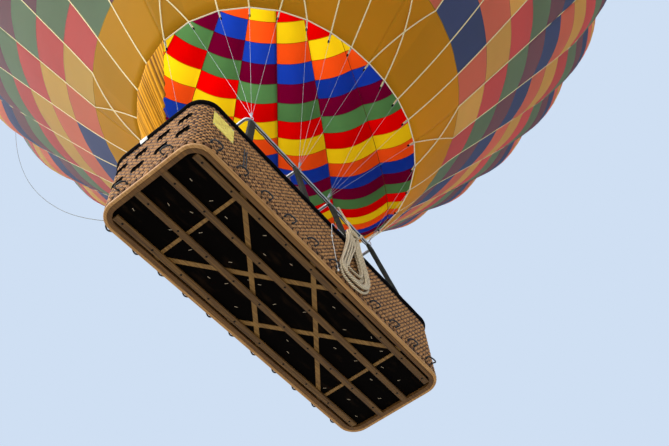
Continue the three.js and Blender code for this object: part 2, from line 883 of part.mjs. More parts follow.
// Flying wires: each shackle on the load frame carries the wires of four tapes.
const shackles = [
  { x: shackleX[1], y: -1, firstTape: 1 },
  { x: shackleX[0], y: -1, firstTape: 5 },
  { x: shackleX[0], y: 1, firstTape: 9 },
  { x: shackleX[1], y: 1, firstTape: 13 },
  { x: -shackleX[1], y: 1, firstTape: 17 },
  { x: -shackleX[0], y: 1, firstTape: 21 },
  { x: -shackleX[0], y: -1, firstTape: 25 },
  { x: -shackleX[1], y: -1, firstTape: 29 },
];

function buildWires() {
  const bottom = frameHeight + frameTube + gap;
  const top = bottom + shackle.height;
  const hem = mouthPath();
  shackles.forEach(({ x, y, firstTape }, index) => {
    const centreY = y * frameHalfWidth;
    const halfX = shackle.along / 2;
    const halfY = shackle.across / 2;
    const pieces = [boxBetween(x - halfX, x + halfX, centreY - halfY, centreY + halfY, bottom, top)];
    const start = new THREE.Vector3(x, centreY, top - shackle.across);
    for (let tape = firstTape; tape < firstTape + 4; tape += 1) {
      const point = hem[tape % goreCount];
      const end = new THREE.Vector3(point.x, point.y, hemTop - hemSize - gap);
      const along = new THREE.Vector3().subVectors(end, start).normalize();
      const rise = wireRadius * 1.2 * Math.sqrt(1 - along.z ** 2);
      end.addScaledVector(along, -rise / along.z);
      pieces.push(bar(start, end, wireRadius, 6));
    }
    addPiece(`wire_fan_${index + 1}`, geometryOf(joined(pieces)), colours.steel, 0.4, 0.7);
  });
}

// Free ropes: round tubes along their routes, and the hank's outer shape
function ropeAlong(route, radius, steps) {
  const section = new THREE.Shape();
  for (let side = 0; side < 8; side += 1) {
    const angle = (side * Math.PI) / 4;
    const move = side === 0 ? 'moveTo' : 'lineTo';
    section[move](radius * Math.cos(angle), radius * Math.sin(angle));
  }
  const points = route.map(([x, y, z]) => new THREE.Vector3(x, y, z));
  const extrudePath = new THREE.CatmullRomCurve3(points, false, 'centripetal');
  return new THREE.ExtrudeGeometry(section, { steps, bevelEnabled: false, extrudePath });
}

function buildRopes() {
  addPiece('crown_line', ropeAlong(crownLineRoute, crownLineRadius, crownLineSteps), colours.rope);
  addPiece('rope_tail', ropeAlong(hankTailRoute, handlingRopeRadius, hankTailSteps), colours.rope);

  const corners = hankOutline.map(({ x, z }) => new THREE.Vector3(x, z, 0));
  const outline = new THREE.CatmullRomCurve3(corners, true).getPoints(hankOutlineSteps).slice(0, -1);
  const settings = { depth: hankThickness, bevelEnabled: false };
  const body = new THREE.ExtrudeGeometry(shapeFrom(outline), settings);
  body.rotateX(Math.PI / 2);
  body.translate(0, -(halfWidth - wallThickness / 2 + rimRadius + gap), 0);
  addPiece('rope_hank', body, colours.rope);
}

buildBaseFrame();
buildRunners();
buildStraps();
buildFloor();
buildLongWalls();
buildEndWalls();
buildRim();
buildPartitions();
buildPlacard();
buildCylinders();
buildLoadFrame();
buildUprights();
buildGimbal();
buildBurner();
buildEnvelope();
buildHem();
buildScoop();
buildCrown();
buildValve();
buildWires();
buildRopes();

export default balloon;
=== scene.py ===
"""Looks of the hot air balloon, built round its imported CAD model. Metres, +Z up, z 0 under the basket."""

import math
import random

import bpy
import numpy as np
from bpy.props import FloatProperty, IntProperty, PointerProperty
from mathutils import Matrix, Vector


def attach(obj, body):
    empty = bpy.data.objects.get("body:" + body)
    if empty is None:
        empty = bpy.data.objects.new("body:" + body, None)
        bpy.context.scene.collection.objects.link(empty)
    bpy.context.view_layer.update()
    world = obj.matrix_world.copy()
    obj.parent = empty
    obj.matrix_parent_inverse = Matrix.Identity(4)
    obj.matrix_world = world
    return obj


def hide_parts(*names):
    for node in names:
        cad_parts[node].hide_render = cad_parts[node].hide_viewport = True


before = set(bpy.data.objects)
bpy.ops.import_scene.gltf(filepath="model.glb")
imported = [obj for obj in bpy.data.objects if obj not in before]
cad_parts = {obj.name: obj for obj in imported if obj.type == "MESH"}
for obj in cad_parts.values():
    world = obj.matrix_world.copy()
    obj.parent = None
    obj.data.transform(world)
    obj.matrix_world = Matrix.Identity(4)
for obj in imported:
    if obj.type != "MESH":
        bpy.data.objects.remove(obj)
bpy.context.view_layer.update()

bl_info = {
    "name": "Ride balloon",
    "version": (1, 0, 0),
    "blender": (4, 5, 0),
    "location": "3D View > Sidebar > Balloon",
    "description": "Dresses the CAD model of a hot air balloon with cloth, wicker, rope and steel",
    "category": "Object",
}


def linear(hex_value):
    """Turns an sRGB hex value such as C8913A into linear red, green, blue and full alpha."""
    parts = [int(hex_value[i:i + 2], 16) / 255 for i in (0, 2, 4)]
    return tuple(p / 12.92 if p <= 0.04045 else ((p + 0.055) / 1.055) ** 2.4 for p in parts) + (1.0,)


# Kinds of node that are used most
MATH, VECTOR_MATH = "ShaderNodeMath", "ShaderNodeVectorMath"
NOISE, ATTRIBUTE = "ShaderNodeTexNoise", "ShaderNodeAttribute"
NAMED, STORE = "GeometryNodeInputNamedAttribute", "GeometryNodeStoreNamedAttribute"


def add(tree, kind, inputs=(), **settings):
    """Adds a node. Its inputs, by name or in order, get a value, a socket, or a node for its first output."""
    made = tree.nodes.new(kind)
    for name, value in settings.items():
        setattr(made, name, value)
    for key, value in inputs.items() if isinstance(inputs, dict) else enumerate(inputs):
        if isinstance(value, bpy.types.Node):
            value = value.outputs[0]
        if isinstance(value, bpy.types.NodeSocket):
            tree.links.new(value, made.inputs[key])
        else:
            made.inputs[key].default_value = value
    return made


def new_tree(name, sockets):
    """Starts a geometry node tree with named inputs, given as (name, socket type, default)."""
    tree = bpy.data.node_groups.new(name, "GeometryNodeTree")
    for label, kind, default in sockets:
        socket = tree.interface.new_socket(name=label, in_out="INPUT", socket_type="NodeSocket" + kind)
        if default is not None:
            socket.default_value = default
    tree.interface.new_socket(name="Geometry", in_out="OUTPUT", socket_type="NodeSocketGeometry")
    given = tree.nodes.new("NodeGroupInput").outputs
    return tree, given


def close_tree(tree, geometry, material):
    """Ends a tree in Realize Instances and Set Material."""
    real = add(tree, "GeometryNodeRealizeInstances", {"Geometry": geometry})
    dressed = add(tree, "GeometryNodeSetMaterial", {"Geometry": real, "Material": material})
    add(tree, "NodeGroupOutput", {"Geometry": dressed})


def place(name, mesh, body="balloon", slot=None, replaces=()):
    """Makes an object of a finished mesh, whose place is in its points, and rides it on a body."""
    made = bpy.data.objects.new(name, mesh)
    bpy.context.scene.collection.objects.link(made)
    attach(made, body)
    if replaces:
        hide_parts(*replaces)
    return made


def grown(name, tree, values, base, wall=0.0, inward=-1.0):
    """Runs a node tree on a base mesh and returns the result as a plain mesh, with a wall if one is given."""
    seed = bpy.data.objects.new(name, base)
    bpy.context.scene.collection.objects.link(seed)
    if tree:
        modifier = seed.modifiers.new("shape", "NODES")
        modifier.node_group = tree
        for item in tree.interface.items_tree:
            if item.item_type == "SOCKET" and item.in_out == "INPUT" and item.name in values:
                modifier[item.identifier] = values[item.name]
    if wall:
        thick = seed.modifiers.new("wall", "SOLIDIFY")
        thick.thickness, thick.offset, thick.use_even_offset = wall, inward, False
    bpy.context.view_layer.update()
    graph = bpy.context.evaluated_depsgraph_get()
    shaped = seed.evaluated_get(graph)
    mesh = bpy.data.meshes.new_from_object(shaped, preserve_all_data_layers=True, depsgraph=graph)
    seed.modifiers.clear()
    bpy.data.objects.remove(seed)
    mesh.name = name
    return mesh


def mesh_of(name, points, faces, material=None, smooth=True, edges=()):
    """Makes a plain mesh from points and faces."""
    mesh = bpy.data.meshes.new(name)
    mesh.from_pydata([tuple(map(float, p)) for p in points], list(edges), [tuple(map(int, f)) for f in faces])
    if material:
        mesh.materials.append(material)
    if smooth:
        mesh.polygons.foreach_set("use_smooth", [True] * len(mesh.polygons))
    mesh.update()
    return mesh


def note(mesh, name, values, kind="FLOAT", domain="POINT"):
    """Stores a named attribute on a mesh."""
    layer = mesh.attributes.new(name, kind, domain)
    field = "vector" if kind == "FLOAT_VECTOR" else "value"
    layer.data.foreach_set(field, np.asarray(values, np.float32).ravel())


MADE = {}


def once(maker, *given):
    """What a maker makes of its inputs, made the first time only."""
    key = (maker.__name__, *given)
    if key not in MADE:
        MADE[key] = maker(*given)
    return MADE[key]


# Real sizes that the CAD model has too, in metres
HALF_LENGTH, HALF_WIDTH, CORNER = 2.6, 0.85, 0.28
WALL, WALL_FOOT, WALL_TOP = 0.04, 0.1003, 1.1497
RIM_HEIGHT, RIM_RADIUS = 1.2, 0.05
FRAME_HEIGHT, FRAME_HALF_X, FRAME_HALF_Y, FRAME_TUBE = 2.5, 1.56, 0.64, 0.025
CROSS_TUBE = 0.4
# Step holes: their places from the middle of the end wall and up it, and the half size left free of cane
STEP_ACROSS, STEP_UP, STEP_FREE = (0.2, 0.56), (0.5, 0.86), (0.112, 0.06)
STEP_HOLES = [(side * y, z) for side in (-1, 1) for y in STEP_ACROSS for z in STEP_UP]
# Karabiners: place along the load frame, side, and the first of the four tapes that each carries
SHACKLES = [
    (0.36, -1, 1), (1.48, -1, 5), (1.48, 1, 9), (0.36, 1, 13),
    (-0.36, 1, 17), (-1.48, 1, 21), (-1.48, -1, 25), (-0.36, -1, 29),
]
GORES, GORES_A_SECTOR, FIRST_TAPE = 32, 4, -95.5
MOUTH_RADIUS, MOUTH_HEIGHT, MOUTH_ANGLE = 2.475, 4.805, 51.18
MOUTH_OVAL, MOUTH_OVAL_TURN, OVAL_REACH = 0.113, math.radians(-5.75), 3.4
# Gores swell by a share of the radius: little low down, where the air hardly presses, and fully from 13 m
BULGE, BULGE_START, LOW_BULGE, FULL_FROM = 0.027, 1.86, 0.1, 13.0
# Stretches of the envelope's wall from the mouth up: length, and angle from horizontal at the end
WALL_STRETCHES = [(1.759, 56), (9.2, 56.5), (6.4, 64.5), (6.4, 87), (6.4, 119.5), (10.1, 179)]
GOLD_TOP = 1.969
SEAMS = [GOLD_TOP, 3.459, 4.969, 6.479, 7.849, 9.239, 10.579, 11.819]
SEAMS += [13.009 + 1.189 * step for step in range(23)]
SPLIT_SEAM = SEAMS[14]
SEAM_HALF = 0.014
COLUMNS_A_GORE = 10
# Wrinkles keep this share of their depth at each metre up the wall, down to the share that is left
WRINKLE_FADE, WRINKLE_LEFT = 0.78, 0.06
# Panels have six colours in turn, and the step from gore to gore turns back every eighth gore
PANEL_COLOURS, TURN_BACK = 6.0, 8


def wall_at(s):
    """Radius, height and angle of the envelope's wall at a length from the mouth."""
    r, z, angle, left = MOUTH_RADIUS, MOUTH_HEIGHT, math.radians(MOUTH_ANGLE), s
    for length, end in WALL_STRETCHES:
        bend = (math.radians(end) - angle) / length
        run = min(left, length)
        later = angle + bend * run
        r += (math.sin(later) - math.sin(angle)) / bend
        z += (math.cos(angle) - math.cos(later)) / bend
        angle, left = later, left - run
        if left <= 1e-9:
            break
    return r, z, angle


WALL_LENGTH = sum(length for length, _ in WALL_STRETCHES)


def fullness(s):
    """Share of the full swelling that a gore has at a length from the mouth."""
    return min(1.0, s / BULGE_START) * min(1.0, LOW_BULGE + (1 - LOW_BULGE) * (s / FULL_FROM) ** 2)


def polar(radius, angle, height=0.0):
    """Point at a radius, an angle and a height."""
    return Vector((radius * math.cos(angle), radius * math.sin(angle), height))


def tape_angle(tape):
    return math.radians(FIRST_TAPE + 360 / GORES * tape)


def tape_point(s, tape, out=0.0):
    """Point at a length up a tape, and the wall's outward direction there. tape may lie between two tapes."""
    r, z, angle = wall_at(s)
    low = math.floor(tape + 1e-9)
    part = tape - low
    ends = []
    for k in (low, low + 1):
        turn = tape_angle(k)
        oval = MOUTH_OVAL * max(0.0, 1 - s / OVAL_REACH) ** 2 * math.cos(2 * (turn - MOUTH_OVAL_TURN))
        ends.append(polar(r * (1 + oval), turn, z))
    turn = tape_angle(tape)
    outward = polar(math.sin(angle), turn, -math.cos(angle))
    swell = BULGE * r * fullness(s) * math.sin(math.pi * part)
    return ends[0].lerp(ends[1], part) + outward * (swell + out), outward


# Materials


def surface(name, base, roughness, metallic=0.0, **sockets):
    """Starts a material: its tree, its Principled shader and its Object coordinates."""
    made = bpy.data.materials.new(name)
    made.use_nodes = True
    tree = made.node_tree
    shader = tree.nodes["Principled BSDF"]
    shader.inputs["Base Color"].default_value = linear(base)
    shader.inputs["Roughness"].default_value = roughness
    shader.inputs["Metallic"].default_value = metallic
    for key, value in sockets.items():
        shader.inputs[key.replace("_", " ")].default_value = value
    return made, tree, shader, add(tree, "ShaderNodeTexCoord").outputs["Object"]


def two_tone(tree, shader, factor, low, high, start=0.3, end=0.7):
    """Colours a surface between two hex values by a factor."""
    ramp = add(tree, "ShaderNodeValToRGB", {"Fac": factor})
    ramp.color_ramp.elements[0].position, ramp.color_ramp.elements[0].color = start, linear(low)
    ramp.color_ramp.elements[1].position, ramp.color_ramp.elements[1].color = end, linear(high)
    tree.links.new(ramp.outputs["Color"], shader.inputs["Base Color"])
    return ramp


def rough_up(tree, shader, height, distance, strength=0.6):
    """Gives a surface relief from a height field, distance deep in metres."""
    bump = add(tree, "ShaderNodeBump", {"Height": height, "Distance": distance, "Strength": strength})
    tree.links.new(bump.outputs["Normal"], shader.inputs["Normal"])


# Colours of the panels, orange, yellow, red, green, maroon and blue, and of the plain gold band
# The outside colours are the inside colours paled: a painted sheen of the sky's reflection and the haze.
OUTSIDE_PAINTED_SHEEN = ["C48468", "CCB266", "BE6A62", "7E9274", "84666A", "5C6280", "C09A20"]
INSIDE = ["E06432", "E8C428", "C80808", "4C8C48", "780C50", "2C4CB0", "D09818"]
THROUGH = ["F48C4C", "F2DC48", "EC1814", "90B084", "A41468", "5078C4", "E8B400"]


def nylon_material(name, faces, glow_share):
    """Ripstop nylon: outside colours paled with a painted sheen of sky and haze, coated and clear in colour
    inside, and it glows with light behind it.
    """
    made, tree, shader, where = surface(name, "C8913A", 0.6, Specular_IOR_Level=0.1)
    panel = add(tree, ATTRIBUTE, attribute_name="panel").outputs["Fac"]
    step = add(tree, MATH, [panel, 0.5], operation="ADD")
    share = add(tree, MATH, [step, 7.0], operation="DIVIDE")
    tones = []
    for hexes in (faces, THROUGH):
        ramp = add(tree, "ShaderNodeValToRGB", {"Fac": share})
        ramp.color_ramp.interpolation = "CONSTANT"
        while len(ramp.color_ramp.elements) < len(hexes):
            ramp.color_ramp.elements.new(0.5)
        for i, value in enumerate(hexes):
            ramp.color_ramp.elements[i].position = i / len(hexes)
            ramp.color_ramp.elements[i].color = linear(value)
        tones.append(ramp.outputs["Color"])
    lot = add(tree, ATTRIBUTE, attribute_name="lot").outputs["Fac"]
    seam = add(tree, ATTRIBUTE, attribute_name="seam").outputs["Fac"]
    faded = add(tree, NOISE, {"Vector": where, "Scale": 0.45, "Detail": 3.0}).outputs["Fac"]
    light = add(tree, MATH, [lot, 0.14, 0.86], operation="MULTIPLY_ADD")
    light = add(tree, MATH, [faded, 0.22, light], operation="MULTIPLY_ADD")
    # The outside tones hold a painted sheen: they are paled for the sky's reflection and the haze.
    outside = add(tree, "ShaderNodeHueSaturation", {"Color": tones[0], "Value": light})
    through = add(tree, "ShaderNodeHueSaturation", {"Color": tones[1], "Value": light})
    # The felled seams have four layers of cloth, so from inside they show as thin dark lines.
    sewn = add(tree, MATH, [seam, 0.6], operation="MULTIPLY")
    through = add(tree, "ShaderNodeMix", {0: sewn, 6: through, 7: linear("5A3418")},
                  data_type="RGBA").outputs[2]
    tree.links.new(outside.outputs[0], shader.inputs["Base Color"])
    creases = add(tree, NOISE, {"Vector": where, "Scale": 2.2, "Detail": 5.0, "Distortion": 0.6})
    rough_up(tree, shader, creases.outputs["Fac"], 0.03, 0.35)
    glow = add(tree, "ShaderNodeBsdfTranslucent", {"Color": through})
    cloth = add(tree, "ShaderNodeMixShader", {0: glow_share, 1: shader, 2: glow})
    tree.links.new(cloth.outputs[0], tree.nodes["Material Output"].inputs["Surface"])
    return made


def scoop_material():
    """Fire resistant cloth in plain gold: duller than nylon, with painted shade down in its folds."""
    made, tree, shader, where = surface("fire_resistant_cloth", "D0900C", 0.8, Specular_IOR_Level=0.1)
    # The fold shade attribute paints shade into the valleys of the folds.
    fold_shade = add(tree, ATTRIBUTE, attribute_name="fold_shade").outputs["Fac"]
    cloudy = add(tree, NOISE, {"Vector": where, "Scale": 3.5, "Detail": 6.0}).outputs["Fac"]
    both = add(tree, MATH, [cloudy, 0.3, fold_shade], operation="MULTIPLY_ADD")
    two_tone(tree, shader, both, "6E4204", "E8A41C", 0.2, 1.0)
    rough_up(tree, shader, cloudy, 0.02, 0.4)
    glow = add(tree, "ShaderNodeBsdfTranslucent", {"Color": linear("F4A800")})
    cloth = add(tree, "ShaderNodeMixShader", {0: 0.22, 1: shader, 2: glow})
    tree.links.new(cloth.outputs[0], tree.nodes["Material Output"].inputs["Surface"])
    return made


def webbing_material():
    """Woven polyester webbing: pale, matt, with a fine twill that runs along the tape."""
    made, tree, shader, where = surface("polyester_webbing", "DCC890", 0.8, Specular_IOR_Level=0.25)
    twill = add(tree, "ShaderNodeTexWave", {"Vector": where, "Scale": 60.0}, bands_direction="DIAGONAL")
    two_tone(tree, shader, twill.outputs["Fac"], "CDB478", "E6D8A8")
    rough_up(tree, shader, twill.outputs["Fac"], 0.001)
    return made


def wood_material(name, dark, light, along="X", gloss=0.6):
    """Timber: grain of about 12 mm width that runs along the piece, varnished and worn."""
    made, tree, shader, where = surface(name, light, gloss, Specular_IOR_Level=0.25)
    stretch = {"X": (1.2, 40, 40), "Y": (40, 1.2, 40)}[along]
    laid = add(tree, "ShaderNodeMapping", {"Vector": where, "Scale": stretch})
    grain = add(tree, NOISE, {"Vector": laid, "Scale": 1.0, "Detail": 6.0, "Distortion": 1.5})
    two_tone(tree, shader, grain.outputs["Fac"], dark, light, 0.35, 0.68)
    rough_up(tree, shader, grain.outputs["Fac"], 0.0015)
    return made


def floor_material():
    """Phenolic faced plywood, nearly black in its own colour and darkened further as painted shade, with pale
    scratches and scuffs from landings.
    """
    made, tree, shader, where = surface("phenolic_plywood", "140E0A", 0.95, Specular_IOR_Level=0.04)
    laid = add(tree, "ShaderNodeMapping",
               {"Vector": where, "Scale": (2.2, 9.0, 2.2), "Rotation": (0, 0, 0.5)})
    marks = add(tree, NOISE, {"Vector": laid, "Scale": 1.0, "Detail": 8.0})
    # Both tones lie below the plywood's own colour: a painted shade for the underside of the basket.
    two_tone(tree, shader, marks.outputs["Fac"], "040201", "20140A", 0.55, 0.85)
    rough_up(tree, shader, marks.outputs["Fac"], 0.001)
    return made


def wicker_material():
    """Willow and palm cane, peeled and varnished: brown with paler and darker rods."""
    made, tree, shader, where = surface("woven_cane", "A57D5A", 0.6, Specular_IOR_Level=0.25)
    shade = add(tree, ATTRIBUTE, attribute_name="shade").outputs["Fac"]
    fibre = add(tree, NOISE, {"Vector": where, "Scale": 60.0, "Detail": 3.0}).outputs["Fac"]
    both = add(tree, MATH, [fibre, 0.5, shade], operation="MULTIPLY_ADD")
    two_tone(tree, shader, both, "5A3418", "C08A52", 0.1, 1.2)
    rough_up(tree, shader, fibre, 0.001)
    return made


def suede_material():
    """Dark suede and coated canvas: nearly black, dull, with a soft nap."""
    made, tree, shader, where = surface("dark_suede", "0C0A0C", 0.95, Specular_IOR_Level=0.05)
    nap = add(tree, NOISE, {"Vector": where, "Scale": 90.0, "Detail": 4.0}).outputs["Fac"]
    two_tone(tree, shader, nap, "040304", "0B090A")
    rough_up(tree, shader, nap, 0.001)
    return made


def sleeve_material():
    """Coated canvas of the padded sleeves: dark olive, with a square weave of 4 mm, drawn at 12 mm."""
    made, tree, shader, where = surface("olive_canvas", "2A2B22", 0.85, Specular_IOR_Level=0.2)
    weave = add(tree, "ShaderNodeTexChecker", {"Vector": where, "Scale": 85.0}).outputs["Fac"]
    wear = add(tree, NOISE, {"Vector": where, "Scale": 9.0, "Detail": 4.0}).outputs["Fac"]
    two_tone(tree, shader, wear, "12120E", "2A2A20")
    rough_up(tree, shader, weave, 0.0008)
    return made


def steel_material(name, base, roughness, scale=220.0):
    """Brushed stainless tube: bright, with fine marks along it."""
    made, tree, shader, where = surface(name, base, roughness, 1.0)
    marks = add(tree, NOISE, {"Vector": where, "Scale": scale, "Detail": 3.0}).outputs["Fac"]
    low, high = roughness * 0.7, min(1.0, roughness * 1.5)
    spread = add(tree, "ShaderNodeMapRange", {"Value": marks, "To Min": low, "To Max": high})
    tree.links.new(spread.outputs[0], shader.inputs["Roughness"])
    rough_up(tree, shader, marks, 0.0003)
    return made


# Strands of a rope, and how far their pattern runs on, in radians, for each radius of length
STRANDS, STRAND_TWIST = 3.0, 3.6


def rope_material(name, dark, light):
    """Laid polyester rope: three strands twisted together, drawn from the rope's own turn and length, with
    painted shade in the grooves between them.
    """
    made, tree, shader, _ = surface(name, light, 0.8, Sheen_Weight=0.15)
    around = add(tree, ATTRIBUTE, attribute_name="around").outputs["Vector"]
    travel = add(tree, ATTRIBUTE, attribute_name="travel").outputs["Fac"]
    sides = add(tree, "ShaderNodeSeparateXYZ", [around]).outputs
    turn = add(tree, MATH, [sides[1], sides[0]], operation="ARCTAN2")
    run = add(tree, MATH, [travel, STRAND_TWIST], operation="MULTIPLY")
    slant = add(tree, MATH, [turn, STRANDS, run], operation="MULTIPLY_ADD")
    wave = add(tree, MATH, [slant], operation="SINE")
    strand = add(tree, MATH, [wave, 0.5, 0.5], operation="MULTIPLY_ADD")
    # Painted shade: the colour darkens into the grooves between the strands.
    two_tone(tree, shader, strand, dark, light, 0.2, 0.75)
    rough_up(tree, shader, strand, 0.004)
    return made


def placard_material():
    """Enamelled aluminium plate, yellow and blank, with a little dirt."""
    made, tree, shader, where = surface("enamelled_plate", "E2CF5A", 0.35, Coat_Weight=0.4)
    dirt = add(tree, NOISE, {"Vector": where, "Scale": 14.0, "Detail": 5.0}).outputs["Fac"]
    two_tone(tree, shader, dirt, "DCC24C", "FFEC74")
    rough_up(tree, shader, dirt, 0.0005)
    return made


def finish(name):
    """The material of that name, made once."""
    makers = {
        "nylon": lambda: nylon_material("ripstop_nylon", OUTSIDE_PAINTED_SHEEN, 0.6),
        "nylon_inside": lambda: nylon_material("coated_nylon", INSIDE, 0.86),
        "scoop": scoop_material,
        "webbing": webbing_material,
        # Webbing darkened as painted shade, for the tapes seen from inside the envelope
        "dark_webbing": lambda: surface("shadowed_webbing", "6A4E30", 0.85)[0],
        "scar": lambda: surface("bare_scratched_ply", "A89478", 0.8)[0],
        "tag": lambda: surface("white_label_cloth", "ECECE6", 0.7)[0],
        "ash": lambda: wood_material("varnished_ash", "8E6232", "BE8E56"),
        "oak": lambda: wood_material("oiled_oak", "422A10", "6E4C20"),
        "ash_strap": lambda: wood_material("planed_ash", "604018", "8E6832"),
        # A darker copy of the ash, painted shade for the board under the base.
        "underside": lambda: wood_material("shaded_underside_ash", "4A2E10", "704A1E"),
        "floor": floor_material,
        "wicker": wicker_material,
        # Near-black finish for the wall cores: the stakes' own dark brown, and painted shade for the gaps
        # between the canes.
        "stakes": lambda: wood_material("willow_stakes", "1C0F05", "341F0E"),
        "suede": suede_material,
        "sleeve": sleeve_material,
        "steel": lambda: steel_material("brushed_stainless", "A6A8AA", 0.34),
        "wire": lambda: steel_material("galvanised_wire_rope", "9EA0A4", 0.45),
        "cylinder": lambda: steel_material("painted_cylinder_steel", "8E9092", 0.42, 40.0),
        "dark_metal": lambda: steel_material("anodised_block", "2C2C2E", 0.4),
        "black_bolt": lambda: steel_material("blackened_steel", "1C1A18", 0.5),
        "cream_rope": lambda: rope_material("cream_polyester_rope", "3E2A16", "EED4A8"),
        "grey_rope": lambda: rope_material("grey_polyester_line", "3C3E3C", "6E706A"),
        "white_cord": lambda: rope_material("white_polyester_cord", "B8B4AC", "F2F0EA"),
        "black_rope": lambda: rope_material("black_polyester_rope", "050506", "17171A"),
        "placard": placard_material,
        "hem": lambda: surface("hem_tape", "E0D2B0", 0.8, Specular_IOR_Level=0.25)[0],
        "rubber": lambda: surface("black_rubber_hose", "121212", 0.6)[0],
        "brass": lambda: steel_material("machined_brass", "B08A48", 0.35),
    }
    if name not in MADE:
        MADE[name] = makers[name]()
    return MADE[name]


# Node trees and shapes


def round_line_tree():
    """A round tube along each line, as thick as its points say. It keeps its turn and length for the rope."""
    tree, given = new_tree("Round line", [
        ("Lines", "Geometry", None), ("Sides", "Int", 8), ("Material", "Material", None),
    ])
    curve = add(tree, "GeometryNodeMeshToCurve", {"Mesh": given["Lines"]})
    thick = add(tree, NAMED, {"Name": "thick"}, data_type="FLOAT")
    length = add(tree, "GeometryNodeSplineParameter").outputs["Length"]
    travel = add(tree, MATH, [length, thick], operation="DIVIDE")
    curve = add(tree, STORE, {"Geometry": curve, "Name": "travel", "Value": travel},
                data_type="FLOAT")
    ring = add(tree, "GeometryNodeCurvePrimitiveCircle", {"Resolution": given["Sides"], "Radius": 1.0})
    where = add(tree, "GeometryNodeInputPosition")
    ring = add(tree, STORE, {"Geometry": ring, "Name": "around", "Value": where},
               data_type="FLOAT_VECTOR")
    mesh = add(tree, "GeometryNodeCurveToMesh",
               {"Curve": curve, "Profile Curve": ring, "Scale": thick, "Fill Caps": True})
    mesh = add(tree, "GeometryNodeSetShadeSmooth", {"Geometry": mesh})
    close_tree(tree, mesh, given["Material"])
    return tree


def bar_line_tree(rounded):
    """A bar along each line with its width level: a flat tape, or a bar with round edges."""
    tree, given = new_tree("Bar line", [
        ("Lines", "Geometry", None), ("Width", "Float", 0.04), ("Thickness", "Float", 0.004),
        ("Edge", "Float", 0.01), ("Material", "Material", None),
    ])
    curve = add(tree, "GeometryNodeMeshToCurve", {"Mesh": given["Lines"]})
    curve = add(tree, "GeometryNodeSetCurveNormal", {"Curve": curve}, mode="Z_UP")
    shape = add(tree, "GeometryNodeCurvePrimitiveQuadrilateral",
                {"Width": given["Width"], "Height": given["Thickness"]})
    if rounded:
        shape = add(tree, "GeometryNodeFilletCurve",
                    {"Curve": shape, "Radius": given["Edge"], "Count": 4, "Limit Radius": True}, mode="POLY")
    mesh = add(tree, "GeometryNodeCurveToMesh", {"Curve": curve, "Profile Curve": shape, "Fill Caps": True})
    if rounded:
        mesh = add(tree, "GeometryNodeSetShadeSmooth", {"Geometry": mesh})
    close_tree(tree, mesh, given["Material"])
    return tree


def stud_tree():
    """A low round head on each point, facing the way that the point says."""
    tree, given = new_tree("Studs", [
        ("Points", "Geometry", None), ("Size", "Vector", None), ("Material", "Material", None),
    ])
    head = add(tree, "GeometryNodeMeshUVSphere", {"Segments": 12, "Rings": 6, "Radius": 1.0}).outputs["Mesh"]
    head = add(tree, "GeometryNodeSetShadeSmooth", {"Geometry": head})
    facing = add(tree, NAMED, {"Name": "facing"}, data_type="FLOAT_VECTOR")
    turn = add(tree, "FunctionNodeAlignRotationToVector", {"Vector": facing}, axis="Z")
    heads = add(tree, "GeometryNodeInstanceOnPoints",
                {"Points": given["Points"], "Instance": head, "Rotation": turn, "Scale": given["Size"]})
    close_tree(tree, heads, given["Material"])
    return tree


